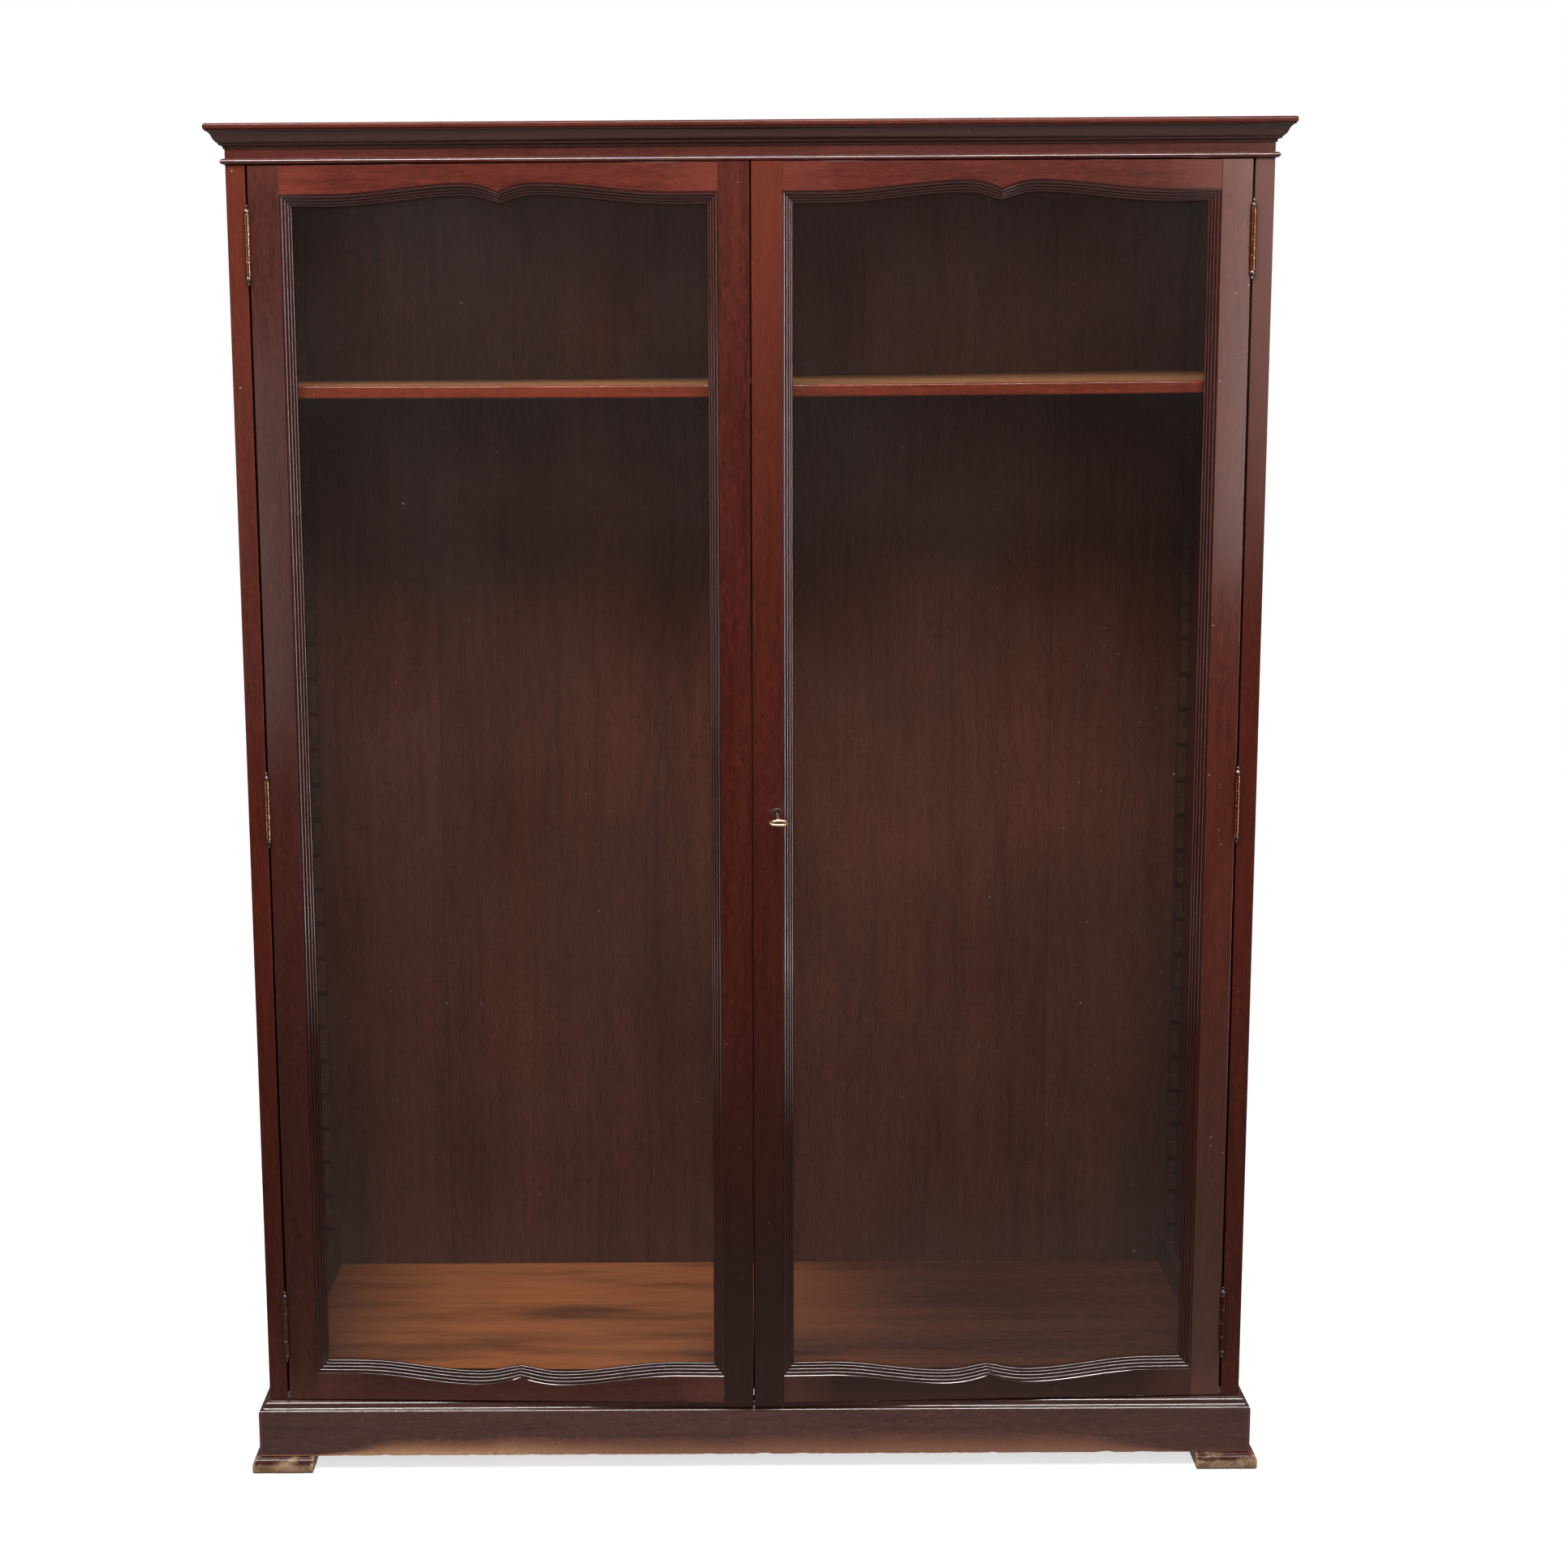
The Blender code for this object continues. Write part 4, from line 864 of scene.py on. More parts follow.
def soft_box(lo, hi, r, axis='Z', corners=((0, 0), (1, 0), (1, 1), (0, 1)), n=3):
    """Board with its long arrises rounded: the section is drawn, then extruded."""
    a0, b0, a1, b1 = {'Z': (lo[0], lo[1], hi[0], hi[1]), 'X': (lo[1], lo[2], hi[1], hi[2]),
                      'Y': (lo[0], lo[2], hi[0], hi[2])}[axis]
    pts = []
    for cx, cy, start, key in ((a0, b0, 180, (0, 0)), (a1, b0, 270, (1, 0)), (a1, b1, 0, (1, 1)),
                               (a0, b1, 90, (0, 1))):
        if key in corners:
            ox, oy = (r if cx == a0 else -r), (r if cy == b0 else -r)
            pts += arc(cx + ox, cy + oy, r, r, start, start + 90, n)
        else:
            pts.append((cx, cy))
    k = {'Z': 2, 'X': 0, 'Y': 1}[axis]
    return prism_bm(pts, axis, lo[k], hi[k])


case_x = (0.0055, 0.0480)
case_y = (0.0100, 0.0247)
case_z = (LOCK.z - 0.0300, LOCK.z + 0.0300)
BOLT_Y = (0.0186, 0.0228)
BOLT_Z = (LOCK.z - 0.0070, LOCK.z + 0.0070)


def keyhole_outline(r, half, down, n=24):
    """Round hole with a slot below it, as (x, z) round the centre."""
    a = math.asin(half / r)
    pts = [(r * math.sin(t), -r * math.cos(t))
           for t in (a + (2 * math.pi - 2 * a) * i / n for i in range(n + 1))]
    return [(LOCK.x + x, LOCK.z + z) for x, z in pts + [(-half, -down), (half, -down)]]


# redder stile wood for the right hinge stile: a warm reflection painted into its colour
REDDER = ((0.072, 0.0115, 0.0058), (0.155, 0.0270, 0.0135), (0.225, 0.0430, 0.0210))
# near-black wood for the faces in the gap between the doors: painted shade
EDGE = ((0.010, 0.0045, 0.0035), (0.018, 0.0070, 0.0050), (0.028, 0.0105, 0.0075))
STILE_TONES = {("left", "hinge_stile"): BROWN, ("left", "meeting_stile"): DEEP,
               ("right", "meeting_stile"): DEEP, ("right", "hinge_stile"): REDDER}
# how far each stile's colour runs to painted shade towards the floor; on the right hinge stile it runs to a greyer
# brown, a painted reflection, and the right meeting stile gets a painted sheen towards the top
STILE_LOW = {("left", "hinge_stile"): 0.34, ("left", "meeting_stile"): 0.88,
             ("right", "meeting_stile"): 0.88, ("right", "hinge_stile"): 0.66}
STILE_LOW_TONE = {("right", "hinge_stile"): (0.075, 0.0520, 0.0380)}
STILE_HIGH = {("right", "meeting_stile"): 0.42}


def mark_moulding(bm, inside):
    """Gives the reeded faces, between the front and the rebate, the second material."""
    for f in bm.faces:
        m = f.calc_center_median()
        if m.y < REBATE_Y + 0.0003 and inside(m):
            f.material_index = 1


def make_door(side, label):
    xa, xb = side * MOULD_OUT, side * MOULD_IN
    for part, xe, xw, inward in (("hinge_stile", side * DOOR_EDGE, xa, -side),
                                 ("meeting_stile", side * MEET_GAP, xb, side)):
        a, b = sorted((xe, xw))
        bm = soft_box((a, 0.0, DOOR_BOT), (b, DOOR_T, DOOR_TOP),
                      0.0004 if part == "meeting_stile" else 0.0008, 'Z', ((0, 0), (1, 0)), 4)
        bm = boolean_bm(bm, stile_moulding(xw, inward), 'UNION')
        if (label, part) == ("right", "meeting_stile"):
            bm = boolean_bm(bm, box_bm((case_x[0] - GAP, case_y[0] - GAP, case_z[0] - GAP),
                                       (case_x[1] + GAP, DOOR_T + 0.01, case_z[1] + GAP)),
                            'DIFFERENCE')
            bm = boolean_bm(bm, box_bm((-0.005, BOLT_Y[0] - 0.0006, BOLT_Z[0] - 0.0006),
                                       (case_x[0] + 0.001, BOLT_Y[1] + 0.0006,
                                        BOLT_Z[1] + 0.0006)), 'DIFFERENCE')
            bm = boolean_bm(bm, prism_bm(keyhole_outline(0.0036, 0.0018, 0.0074), 'Y', -0.005,
                                         0.0115), 'DIFFERENCE')
        if (label, part) == ("left", "meeting_stile"):
            bm = boolean_bm(bm, box_bm((-0.0140, BOLT_Y[0] - 0.0014, BOLT_Z[0] - 0.0012),
                                       (0.0050, BOLT_Y[1] + 0.0014, BOLT_Z[1] + 0.0012)),
                            'DIFFERENCE')
        cut_at(bm, 'Z', [DOOR_BOT + (DOOR_TOP - DOOR_BOT) * i / 40 for i in range(1, 40)])
        lo_x, hi_x = sorted((xw - inward * 0.0003, xw + inward * (MOULD_W + 0.001)))
        mark_moulding(bm, lambda m: lo_x < m.x < hi_x)
        bm.normal_update()
        # the faces in the meeting gap get the near-black wood, a painted shade
        for f in bm.faces:
            if abs(f.calc_center_median().x) < MEET_GAP + 0.0005 and abs(f.normal.x) > 0.35:
                f.material_index = 2
        put("%s_door_%s" % (label, part), bm,
            wood("mahogany_%s_%s" % (label, part), 'Z', *STILE_TONES[(label, part)],
                 specks=0.5, figure=0.75, arris=0.0 if part == "meeting_stile" else 0.25, groove_shade=0.6,
                 low=STILE_LOW[(label, part)],
                 low_tone=STILE_LOW_TONE.get((label, part), (0.026, 0.0145, 0.0105)),
                 high=STILE_HIGH.get((label, part), 0.0),
                 high_tone=(0.290, 0.052, 0.022),
                 coat=1.0 if (label, part) == ("right", "hinge_stile") else 0.55),
            more=[mat("stile_reeds", lambda: wood("mahogany_reeds_upright", 'Z', *REEDS,
                                                  rough=0.30, coat=1.0, coat_rough=0.08,
                                                  patch=0.1, groove_shade=1.0, low=0.5)),
                  mat("meeting_edge", lambda: wood("mahogany_meeting_edge", 'Z', *EDGE, rough=0.6,
                                                   coat=0.0, patch=0.2, scuff=0.0))],
            sharp=24)
    x0, x1 = sorted((xa, xb))
    x0, x1 = x0 + GAP, x1 - GAP
    for part, base, edge, rebate, curve, up, tone in (
            ("top_rail", MOULD_TOP, DOOR_TOP, REB_TOP, TOP_CURVE, 1, RAIL),
            ("bottom_rail", MOULD_BOT, DOOR_BOT, REB_BOT, BOT_CURVE, -1, BROWN)):
        bm = rail_mesh(x0, x1, base, edge, rebate, curve, up)
        bm.normal_update()
        mark_moulding(bm, lambda m: m.y > 0.00005)
        put("%s_door_%s" % (label, part), bm,
            wood("mahogany_%s_%s" % (label, part), 'X', *tone, specks=0.4, figure=0.75, arris=0.25, groove_shade=0.6,
                 low=0.30 if side < 0 else 0.88),
            more=[mat("rail_reeds", lambda: wood("mahogany_reeds_level", 'X', *REEDS,
                                                 rough=0.30, coat=1.0, coat_rough=0.08,
                                                 patch=0.1, groove_shade=0.95, low=0.5))],
            sharp=24)


make_door(-1, "left")
make_door(1, "right")


# ------------------------------------------------------------------- hinges
def metal(name, tones, rough=0.34, tarnish=0.5):
    t = Tree(name)
    obj = t.coords()
    n1 = t.noise(obj, 240.0, 5.0, 0.65)
    n2 = t.noise(t.mapping(obj, scale=(1, 1, 0.2)), 900.0, 3.0, 0.6)
    col = t.ramp(n1, [(0.35, tones[0]), (0.52, tones[1]), (0.68, tones[2])])
    col = t.mix(t.math('MULTIPLY', t.remap(n2, 0.5, 0.75), tarnish), col,
                tuple(c * 0.35 for c in tones[0]))
    t.link(col, t.bsdf.inputs["Base Color"])
    t.bsdf.inputs["Metallic"].default_value = 1.0
    t.link(t.remap(n1, 0.3, 0.7, rough + 0.12, rough - 0.08), t.bsdf.inputs["Roughness"])
    t.link(t.bump(n2, 0.12, 0.0003), t.bsdf.inputs["Normal"])
    return t.mat


# the left hinges' brass is a lighter copy and the right hinges' a darker one: painted light and shade on the same brass
brass = metal("brass_hinge", ((0.070, 0.024, 0.013), (0.150, 0.052, 0.027), (0.260, 0.105, 0.056)),
              0.22, 0.45)
lit_brass_left = metal("brass_hinge_left", ((0.100, 0.045, 0.026), (0.220, 0.105, 0.062), (0.400, 0.225, 0.145)),
                   0.22, 0.40)
bronze = metal("brass_finial", ((0.030, 0.022, 0.020), (0.080, 0.058, 0.050), (0.190, 0.150, 0.130)), 0.30)
key_brass = metal("brass_key", ((0.29, 0.155, 0.105), (0.54, 0.335, 0.240), (0.73, 0.520, 0.410)), 0.36,
                  0.25)
plate_brass = metal("brass_escutcheon", ((0.022, 0.017, 0.015), (0.060, 0.046, 0.040),
                                         (0.120, 0.095, 0.082)), 0.38)
steel = metal("lock_steel_dull", ((0.16, 0.15, 0.14), (0.34, 0.33, 0.31), (0.50, 0.48, 0.45)), 0.38)


def finial(z0, sign):
    """Urn finial from the barrel's end outwards, as (radius, height)."""
    pts = [(0.0030, 0.0), (0.0036, -0.0013), (0.00395, -0.0024), (0.0041, -0.0035),
           (0.00395, -0.0046), (0.0036, -0.0057), (0.0026, -0.0071), (0.0016, -0.0083),
           (0.00135, -0.0087), (0.0014, -0.0091), (0.0018, -0.0098), (0.0019, -0.0109),
           (0.0017, -0.0119), (0.0013, -0.0127), (0.0006, -0.0133), (0.0, -0.0135)]
    return [(r, z0 + sign * (-z)) for r, z in pts]


def knuckle(r, a, b, n=3):
    e = 0.00045
    return ([(r - e, a)] + [(r - e + e * math.sin(math.pi / 2 * i / n),
                             a + e * (1 - math.cos(math.pi / 2 * i / n))) for i in range(1, n + 1)]
            + [(r - e + e * math.cos(math.pi / 2 * i / n),
                b - e * (1 - math.sin(math.pi / 2 * i / n))) for i in range(n + 1)])


def screw(face_x, side, y, z):
    """Countersunk slotted head, flush in a leaf, as two half discs."""
    bm = bmesh.new()
    s = -side
    for half in (-1, 1):
        a = math.asin(0.00035 / 0.0030)
        pts = [(0.0030 * math.sin(t), half * 0.0030 * math.cos(t))
               for t in (-math.pi / 2 + a + (math.pi - 2 * a) * i / 14 for i in range(15))]
        join_bm(bm, prism_bm([(y + u, z + v) for u, v in pts], 'X',
                             *sorted((face_x - s * 0.0004, face_x + s * 0.00008))))
    return bm


for side, label in ((-1, "left"), (1, "right")):
    for zc, hn in zip(HINGE_Z, ("top", "middle", "bottom")):
        z0, k = zc - BARREL / 2, BARREL / 4
        c = (side * PIN_X, PIN_Y)
        # fixed leaf
        xa, xb = sorted((side * (INNER - GAP), side * (INNER - GAP - LEAF_T)))
        bm = box_bm((xa, 0.0006, z0), (xb, LEAF_W, z0 + BARREL))
        for i in (1, 3):
            join_bm(bm, box_bm((xa, PIN_Y + 0.0005, z0 + i * k + 0.0004),
                               (xb, 0.0040, z0 + (i + 1) * k - 0.0004)))
        prof = list(reversed(finial(z0, -1)))
        for i in range(4):
            a, b = z0 + i * k, z0 + (i + 1) * k
            prof += knuckle(KNUCKLE_R, a + 0.0001, b - 0.0001) if i in (1, 3) else \
                [(PIN_R, a), (PIN_R, b)]
        prof += finial(z0 + BARREL, 1)
        join_bm(bm, turned(prof, c, 32))
        for j, zz in enumerate((0.012, 0.034, 0.055, 0.077)):
            y = 0.0145 if j % 2 else 0.0100
            join_bm(bm, screw(side * (INNER - GAP - LEAF_T), side, y, z0 + zz))
        bmesh.ops.recalc_face_normals(bm, faces=bm.faces)
        for f in bm.faces:
            m = f.calc_center_median()
            if m.z < z0 - 0.0002 or m.z > z0 + BARREL + 0.0002:
                f.material_index = 1
        put("%s_%s_hinge_fixed_leaf" % (label, hn), bm, brass if side > 0 else lit_brass_left, more=[bronze], sharp=38)
        # door leaf
        xa, xb = sorted((side * (DOOR_EDGE + GAP), side * (DOOR_EDGE + GAP + LEAF_T)))
        bm = box_bm((xa, 0.0006, z0), (xb, LEAF_W, z0 + BARREL))
        for i in (0, 2):
            za, zb = z0 + i * k + 0.0002, z0 + (i + 1) * k - 0.0002
            join_bm(bm, box_bm((xa, PIN_Y + 0.0022, za + 0.0003), (xb, 0.0040, zb - 0.0003)))
            ring = knuckle(KNUCKLE_R, za, zb)
            ring = ring + [(KNUCKLE_BORE, zb), (KNUCKLE_BORE, za), ring[0]]
            join_bm(bm, turned(ring, c, 32))
        for j, zz in enumerate((0.012, 0.034, 0.055, 0.077)):
            y = 0.0145 if j % 2 else 0.0100
            join_bm(bm, screw(side * (DOOR_EDGE + GAP + LEAF_T), -side, y, z0 + zz))
        put("%s_%s_hinge_door_leaf" % (label, hn), bm, brass if side > 0 else lit_brass_left, sharp=38)

# ------------------------------------------------------------- lock and key
bm = turned([(0.0001, -0.0003), (0.0070, -0.0003), (0.0070, -0.0007), (0.0067, -0.0010),
             (0.0062, -0.0012), (0.0056, -0.00115), (0.0050, -0.0009), (0.0001, -0.0009)],
            (LOCK.x, LOCK.z), 48, 'Y')
bm = boolean_bm(bm, prism_bm(keyhole_outline(0.0036, 0.0018, 0.0058), 'Y', -0.005, 0.005),
                'DIFFERENCE')
put("escutcheon", bm, plate_brass, sharp=30)


def bow_ring(a, b, r, cy, n_major=56, n_minor=16):
    bm = bmesh.new()
    rings = []
    for i in range(n_major):
        t = 2 * math.pi * i / n_major
        c = Vector((a * math.cos(t), cy + b * math.sin(t), 0.0))
        nrm = Vector((b * math.cos(t), a * math.sin(t), 0.0)).normalized()
        rings.append([bm.verts.new(c + nrm * r * math.cos(u) + Vector((0, 0, 1)) * r * math.sin(u))
                      for u in (2 * math.pi * j / n_minor for j in range(n_minor))])
    for i in range(n_major):
        p, q = rings[i], rings[(i + 1) % n_major]
        for j in range(n_minor):
            m = (j + 1) % n_minor
            bm.faces.new((p[j], q[j], q[m], p[m]))
    return bm


KEY_TIP, KEY_NECK = 0.0098, -0.0410
shank = [(0.0, KEY_NECK - 0.0004), (0.0019, KEY_NECK), (0.0022, KEY_NECK + 0.0005),
         (0.0022, KEY_NECK + 0.0010), (0.0030, KEY_NECK + 0.0012), (0.0034, KEY_NECK + 0.0019),
         (0.0034, KEY_NECK + 0.0033), (0.0030, KEY_NECK + 0.0040), (0.0022, KEY_NECK + 0.0042),
         (0.0022, KEY_TIP - 0.0005), (0.0018, KEY_TIP), (0.0, KEY_TIP)]
bm = turned(shank, (0.0, 0.0), 28, 'Y')
join_bm(bm, soft_box((0.0, 0.0064, -0.0009), (0.0062, 0.0094, 0.0009), 0.0003, 'X'))
join_bm(bm, bow_ring(0.0130, 0.0100, 0.0020, KEY_NECK - 0.0096))
put("key", bm, key_brass, sharp=45)


def plate_with_hole(lo, hi):
    """Lock case with its chamber, keyhole and bolt channel."""
    bm = soft_box(lo, hi, 0.0005, 'Z', n=2)
    bm = boolean_bm(bm, cylinder_bm(0.0080, 0.0115, 0.0172, (LOCK.x, LOCK.z), 32, 'Y'),
                    'DIFFERENCE')
    bm = boolean_bm(bm, prism_bm(keyhole_outline(0.0036, 0.0018, 0.0074), 'Y', 0.0050, 0.0130),
                    'DIFFERENCE')
    return boolean_bm(bm, box_bm((0.0, BOLT_Y[0] - GAP, BOLT_Z[0] - GAP),
                                 (0.0400, BOLT_Y[1] + GAP, BOLT_Z[1] + GAP)), 'DIFFERENCE')


bm = plate_with_hole((case_x[0], case_y[0], case_z[0]), (case_x[1], case_y[1], case_z[1]))
for dx in (0.0050, 0.0375):
    for dz in (0.0055, 0.0545):
        join_bm(bm, turned([(0.0, case_y[1] - 0.0006), (0.0024, case_y[1] - 0.0006),
                            (0.0024, case_y[1] + 0.00005), (0.0021, case_y[1] + 0.0002),
                            (0.0, case_y[1] + 0.00025)],
                           (case_x[0] + dx, case_z[0] + dz), 20, 'Y'))
put("lock_case", bm, steel, sharp=30)
bm = soft_box((MEET_GAP + 0.0003, BOLT_Y[0], BOLT_Z[0]), (0.0390, BOLT_Y[1], BOLT_Z[1]), 0.0004,
              'X', n=2)
put("lock_bolt", bm, steel, sharp=30)


# --------------------------------------------- shelf, strips and the bearers
def strip_outline(ya, yb, forward):
    back, tip = (yb, ya) if forward else (ya, yb)
    d = NOTCH if forward else -NOTCH
    pts = [(back, STRIP_BOT), (tip, STRIP_BOT)]
    k = 0
    while LEDGE_0 + PITCH * k + 0.040 < STRIP_TOP:
        z = LEDGE_0 + PITCH * k
        pts += [(tip, z), (tip + d, z), (tip + d, z + 0.0270), (tip, z + 0.0365)]
        k += 1
    return pts + [(tip, STRIP_TOP), (back, STRIP_TOP)]


for side, label in ((-1, "left"), (1, "right")):
    x0, x1 = sorted((side * (INNER - GAP), side * (INNER - GAP - STRIP_T)))
    strip_wood = wood("mahogany_strip_" + label, 'Z', *STRIP, rough=0.5, coat=0.05, bump=0.3)
    for (ya, yb), where, forward in ((STRIP_FRONT, "front", False), (STRIP_BACK, "back", True)):
        put("ratchet_strip_%s_%s" % (where, label),
            prism_bm(strip_outline(ya, yb, forward), 'X', x0, x1), strip_wood, bevel=0.0005)
    long_wood = wood("mahogany_batten_" + label, 'Y', *STRIP, rough=0.5, coat=0.05, bump=0.3)
    put("floor_batten_" + label, box_bm((x0, 0.0320, FLOOR_TOP + GAP),
                                        (x1, 0.4612, STRIP_BOT - GAP)), long_wood, bevel=0.0010)
    zb = LEDGE_0 + PITCH * BEARER_LEDGE
    x0, x1 = sorted((side * (INNER - GAP - 0.0005), side * (INNER - GAP - 0.0125)))
    put("shelf_bearer_" + label,
        box_bm((x0, STRIP_FRONT[1] - NOTCH + GAP, zb + GAP),
               (x1, STRIP_BACK[0] + NOTCH - GAP, SHELF_Z - GAP)), long_wood, bevel=0.0010)

w = INNER - 0.0030
nx = INNER - STRIP_T - 0.0015
f0, f1, b0, b1 = 0.0340, STRIP_FRONT[1] + 0.0015, STRIP_BACK[0] - 0.0015, STRIP_BACK[1] + 0.0015
outline = [(-nx, f0), (nx, f0), (nx, f1), (w, f1), (w, b0), (nx, b0), (nx, b1), (w, b1), (w, 0.4590),
           (-w, 0.4590), (-w, b1), (-nx, b1), (-nx, b0), (-w, b0), (-w, f1), (-nx, f1)]
bm = prism_bm(outline, 'Z', SHELF_Z, SHELF_Z + SHELF_T)
front = [e for e in bm.edges if all(abs(v.co.y - f0) < 1e-5 for v in e.verts)
         and abs(e.verts[0].co.z - e.verts[1].co.z) < 1e-6]
bmesh.ops.bevel(bm, geom=front, offset=0.0033, segments=6, profile=0.5, affect='EDGES')
cut_at(bm, 'X', [-nx + 2 * nx * i / 40 for i in range(1, 40)])
cut_at(bm, 'Y', [0.10, 0.18, 0.26, 0.34, 0.43])
for v in bm.verts:
    u = v.co.x / nx
    d = (v.co.y - f0) / (0.4590 - f0)
    right = max(0.0, (u + 0.55) / 1.55)
    lift = 0.0088 * right ** 1.3 * d ** 1.1
    sag = -0.0022 * (1 - min(1.0, abs(u)) ** 2) * (1 - d)
    v.co.z += lift + sag
bmesh.ops.triangulate(bm, faces=[f for f in bm.faces if len(f.verts) > 4])
bmesh.ops.recalc_face_normals(bm, faces=bm.faces)
for f in bm.faces:
    if f.calc_center_median().y > f0 + 0.0034:
        f.material_index = 1
put("shelf", bm, wood("mahogany_shelf_front", 'X', *ORANGE, rough=0.32, coat=0.4, specks=0.4),
    more=[wood("mahogany_shelf_boards", 'X', *TAN, rough=0.46, coat=0.1, figure=1.3)], sharp=30)

# ---------------------------------------------- pieces kept from the frame
bead = wood("mahogany_glazing_bead", 'Z', *BROWN, rough=0.4, coat=0.2)
for label in ("left", "right"):
    node = NODES[label + "_door_glazing_bead"]
    node.data.materials.clear()
    node.data.materials.append(bead)

t = Tree("clear_glass")
t.t.nodes.remove(t.bsdf)
obj = t.coords()
clear = t.node("ShaderNodeBsdfTransparent")
haze = t.noise(t.mapping(obj, scale=(1.0, 1.0, 0.7)), 3.2, 4.0, 0.55)
clear.inputs["Color"].default_value = (0.955, 0.965, 0.960, 1.0)
gloss = t.node("ShaderNodeBsdfGlossy")
gloss.inputs["Color"].default_value = (1.0, 1.0, 1.0, 1.0)
gloss.inputs["Roughness"].default_value = 0.03
ripple = t.noise(t.mapping(obj, scale=(1.0, 1.0, 0.55)), 2.6, 2.0, 0.5)
t.link(t.bump(ripple, 0.25, 0.004), gloss.inputs["Normal"])
facing = t.node("ShaderNodeLayerWeight")
facing.inputs["Blend"].default_value = 0.5
shine = t.math('MULTIPLY_ADD', t.math('POWER', facing.outputs["Facing"], 5.0), 0.96, 0.04)
mix = t.node("ShaderNodeMixShader")
t.link(shine, mix.inputs[0])
t.link(clear.outputs[0], mix.inputs[1])
t.link(gloss.outputs[0], mix.inputs[2])
dust = t.node("ShaderNodeBsdfDiffuse")
dust.inputs["Color"].default_value = (0.75, 0.72, 0.70, 1.0)
cell = t.node("ShaderNodeTexVoronoi", feature='F1')
t.link(obj, cell.inputs["Vector"])
cell.inputs["Scale"].default_value = 22.0
pick = t.xyz(cell.outputs["Color"])
dot = t.math('MULTIPLY', t.math('LESS_THAN', cell.outputs["Distance"],
                                t.remap(pick[1], 0.0, 1.0, 0.010, 0.030)),
             t.math('GREATER_THAN', pick[0], 0.80))
film = t.remap(haze, 0.40, 0.75, 0.004, 0.013)
mix2 = t.node("ShaderNodeMixShader")
t.link(t.math('ADD', film, t.math('MULTIPLY', dot, 0.35), clamp=True), mix2.inputs[0])
t.link(mix.outputs[0], mix2.inputs[1])
t.link(dust.outputs[0], mix2.inputs[2])
t.link(mix2.outputs[0], t.out.inputs["Surface"])
for label in ("left", "right"):
    node = NODES[label + "_door_glass"]
    node.data.materials.clear()
    node.data.materials.append(t.mat)

# ------------------------------------------------------- floor, light, view
bm = bmesh.new()
bmesh.ops.create_circle(bm, cap_ends=True, segments=96, radius=7.0)
me = bpy.data.meshes.new("floor")
bm.to_mesh(me)
bm.free()
floor = bpy.data.objects.new("floor", me)
floor.location = (0.0, 0.0, -0.0002)
bpy.context.scene.collection.objects.link(floor)
t = Tree("pale_floor")
x, y, z = t.xyz(t.coords())
r = t.math('SQRT', t.math('ADD', t.math('MULTIPLY', x, x), t.math('MULTIPLY', y, y)))
t.bsdf.inputs["Base Color"].default_value = (0.93, 0.93, 0.93, 1.0)
t.bsdf.inputs["Roughness"].default_value = 0.9
t.bsdf.inputs["Specular IOR Level"].default_value = 0.1
t.bsdf.inputs["Emission Color"].default_value = (1.0, 1.0, 1.0, 1.0)
t.bsdf.inputs["Emission Strength"].default_value = 0.66
t.link(t.remap(r, 1.0, 3.4, 1.0, 0.0, True), t.bsdf.inputs["Alpha"])
me.materials.append(t.mat)
floor.visible_glossy = False
floor.visible_diffuse = False

world = bpy.data.worlds.new("studio")
bpy.context.scene.world = world
world.use_nodes = True
wt = world.node_tree
wt.nodes.clear()
tc = wt.nodes.new("ShaderNodeTexCoord")
sep = wt.nodes.new("ShaderNodeSeparateXYZ")
wt.links.new(tc.outputs["Generated"], sep.inputs[0])
ramp = wt.nodes.new("ShaderNodeValToRGB")
mr = wt.nodes.new("ShaderNodeMapRange")
mr.inputs[1].default_value, mr.inputs[2].default_value = -1.0, 1.0
wt.links.new(sep.outputs[2], mr.inputs[0])
wt.links.new(mr.outputs[0], ramp.inputs[0])
el = ramp.color_ramp.elements
while len(el) < 4:
    el.new(0.5)
for e, (p, v) in zip(el, ((0.0, 0.05), (0.46, 0.04), (0.56, 0.10), (1.0, 0.26))):
    e.position = p
    e.color = (v, v * 0.99, v * 0.98, 1.0)
ramp2 = wt.nodes.new("ShaderNodeValToRGB")
wt.links.new(mr.outputs[0], ramp2.inputs[0])
el = ramp2.color_ramp.elements
while len(el) < 5:
    el.new(0.5)
for e, (p, v) in zip(el, ((0.0, 0.60), (0.28, 0.24), (0.335, 0.07), (0.46, 0.03), (0.60, 0.12))):
    e.position = p
    e.color = (v, v, v, 1.0)
soft = wt.nodes.new("ShaderNodeBackground")
pick_ramp = wt.nodes.new("ShaderNodeMix")
pick_ramp.data_type = 'RGBA'
wt.links.new(ramp.outputs[0], pick_ramp.inputs[6])
wt.links.new(ramp2.outputs[0], pick_ramp.inputs[7])
soft.inputs["Strength"].default_value = 1.0
white = wt.nodes.new("ShaderNodeBackground")
white.inputs["Color"].default_value = (1.0, 1.0, 1.0, 1.0)
white.inputs["Strength"].default_value = 1.0
lp = wt.nodes.new("ShaderNodeLightPath")
wt.links.new(lp.outputs["Is Glossy Ray"], pick_ramp.inputs[0])
wt.links.new(pick_ramp.outputs[2], soft.inputs["Color"])
ms = wt.nodes.new("ShaderNodeMixShader")
wt.links.new(lp.outputs["Is Camera Ray"], ms.inputs[0])
wt.links.new(soft.outputs[0], ms.inputs[1])
wt.links.new(white.outputs[0], ms.inputs[2])
wo = wt.nodes.new("ShaderNodeOutputWorld")
wt.links.new(ms.outputs[0], wo.inputs["Surface"])


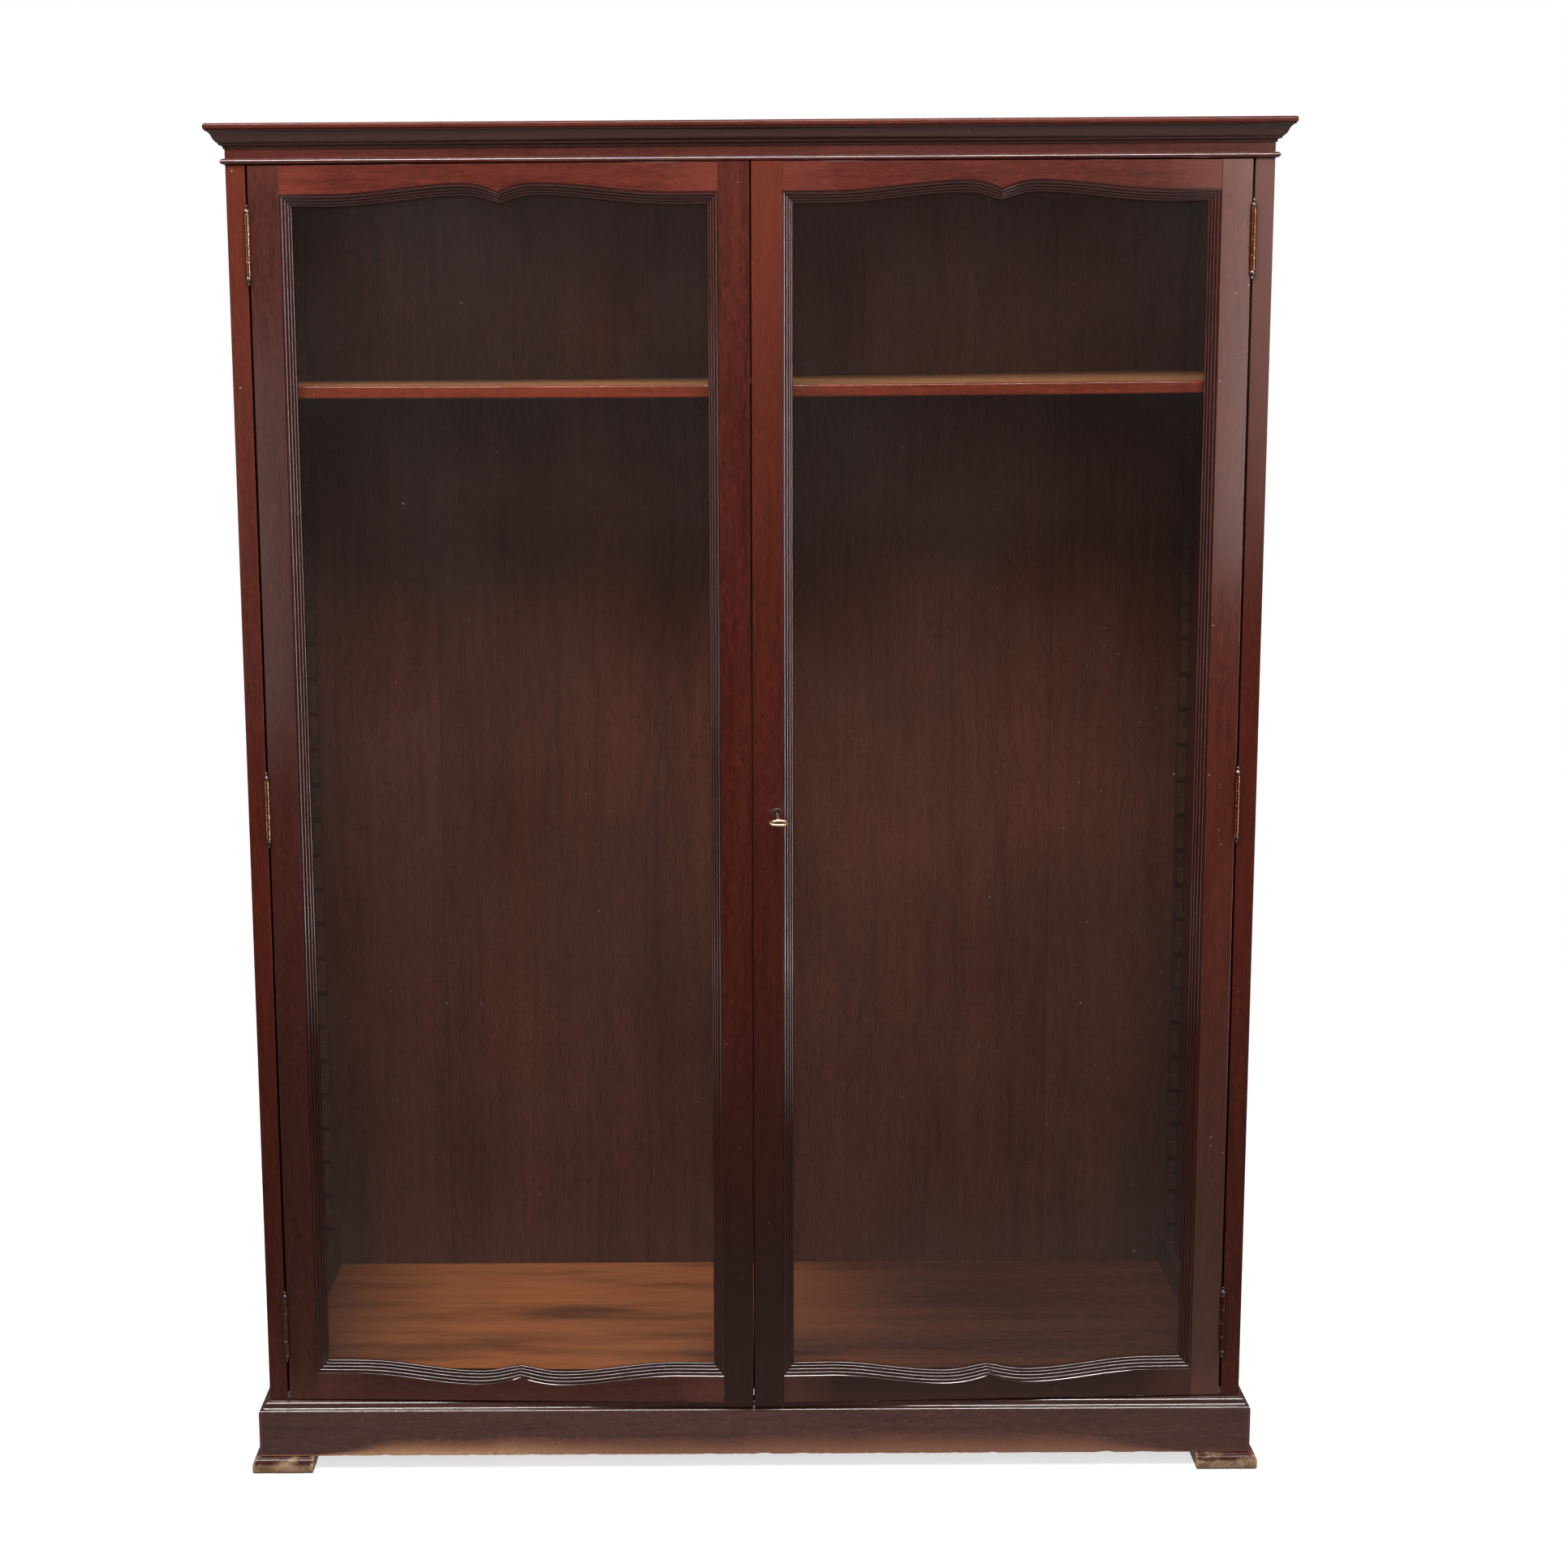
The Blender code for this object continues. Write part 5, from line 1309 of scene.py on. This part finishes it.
def area(name, at, to, sx, sy, power, colour=(1.0, 1.0, 1.0)):
    li = bpy.data.lights.new(name, 'AREA')
    li.shape = 'RECTANGLE'
    li.size, li.size_y, li.energy, li.color = sx, sy, power, colour
    ob = bpy.data.objects.new(name, li)
    ob.location = at
    ob.rotation_euler = (Vector(to) - Vector(at)).to_track_quat('-Z', 'Y').to_euler()
    bpy.context.scene.collection.objects.link(ob)
    ob.visible_camera = False
    return ob


panes = bpy.data.collections.new("panes")
for label in ("left", "right"):
    panes.objects.link(NODES[label + "_door_glass"])
for item in panes.collection_objects:
    item.light_linking.link_state = 'EXCLUDE'


def only(light, diffuse=True, glossy=True):
    light.visible_diffuse, light.visible_glossy = diffuse, glossy
    if not diffuse:
        light.light_linking.receiver_collection = panes


only(area("key_overhead", (-0.3, -1.5, 3.0), (0.0, 0.0, 0.9), 3.0, 0.8, 44.0,
          (1.0, 0.985, 0.96)), glossy=False)
only(area("fill_front", (0.0, -4.0, 2.3), (0.0, 0.0, 1.3), 2.6, 1.6, 18.0), glossy=False)
only(area("gloss_overhead", (-0.3, -1.5, 3.2), (0.0, -0.1, 0.9), 5.0, 0.30, 340.0), diffuse=False)
only(area("gloss_right", (3.0, -2.2, 1.36), (0.0, -0.1, 1.1), 0.24, 3.2, 105.0), diffuse=False)
only(area("gloss_left", (-3.1, -2.1, 1.36), (0.0, -0.1, 1.1), 0.22, 3.2, 24.0), diffuse=False)
only(area("sheen_right", (2.16, -4.2, 1.78), (2.12, -0.2, 1.78), 0.84, 1.6, 15.0,
          (1.0, 0.90, 0.83)), diffuse=False)
only(area("sheen_left", (-2.02, -4.2, 1.10), (-1.95, -0.2, 1.10), 0.78, 1.3, 6.0), diffuse=False)
only(area("floor_bounce", (0.0, -0.40, 0.004), (0.0, -0.399, 2.0), 1.75, 0.30, 1.6), glossy=False)
only(area("fill_back", (0.3, 4.0, 2.2), (0.0, 0.4, 1.1), 2.6, 1.8, 34.0), glossy=False)
only(area("fill_right", (3.6, 0.7, 2.0), (0.75, 0.2, 1.1), 1.6, 1.8, 16.0), glossy=False)
only(area("fill_left", (-3.6, 0.7, 2.0), (-0.75, 0.2, 1.1), 1.6, 1.8, 16.0), glossy=False)
# patches of the pale floor, as the polish mirrors them
only(area("floor_right", (2.3, -1.65, 0.004), (2.3, -1.649, 2.0), 1.6, 1.3, 22.0), diffuse=False)
only(area("floor_left", (-2.3, -1.65, 0.004), (-2.3, -1.649, 2.0), 1.6, 1.3, 8.0), diffuse=False)

F, X0, Y0 = 2950.0, 867.41, 876.49
PITCH_C, YAW, ROLL = -0.155765, 0.003881, -0.006541
EYE = (-0.05690, -3.69538, 1.73614)
R = Matrix.Rotation(YAW, 3, 'Z') @ Matrix.Rotation(PITCH_C, 3, 'X')
right, fwd, up = R @ Vector((1, 0, 0)), R @ Vector((0, 1, 0)), R @ Vector((0, 0, 1))
r2 = math.cos(ROLL) * right + math.sin(ROLL) * up
u2 = -math.sin(ROLL) * right + math.cos(ROLL) * up
cam = bpy.data.cameras.new("camera")
cam.type = 'PERSP'
cam.sensor_width = 36.0
cam.sensor_fit = 'HORIZONTAL'
cam.lens = F / 1932.0 * 36.0
cam.shift_x = 0.5 - X0 / 1932.0
cam.shift_y = Y0 / 1932.0 - 0.5
cam.clip_start, cam.clip_end = 0.05, 60.0
co = bpy.data.objects.new("camera", cam)
m = Matrix.Identity(4)
for i, v in enumerate((r2, u2, -fwd)):
    for j in range(3):
        m[j][i] = v[j]
m.translation = Vector(EYE)
co.matrix_world = m
bpy.context.scene.collection.objects.link(co)
bpy.context.scene.camera = co

bpy.context.scene.view_settings.view_transform = 'Standard'
bpy.context.scene.view_settings.look = 'None'
bpy.context.scene.view_settings.exposure = 0.0

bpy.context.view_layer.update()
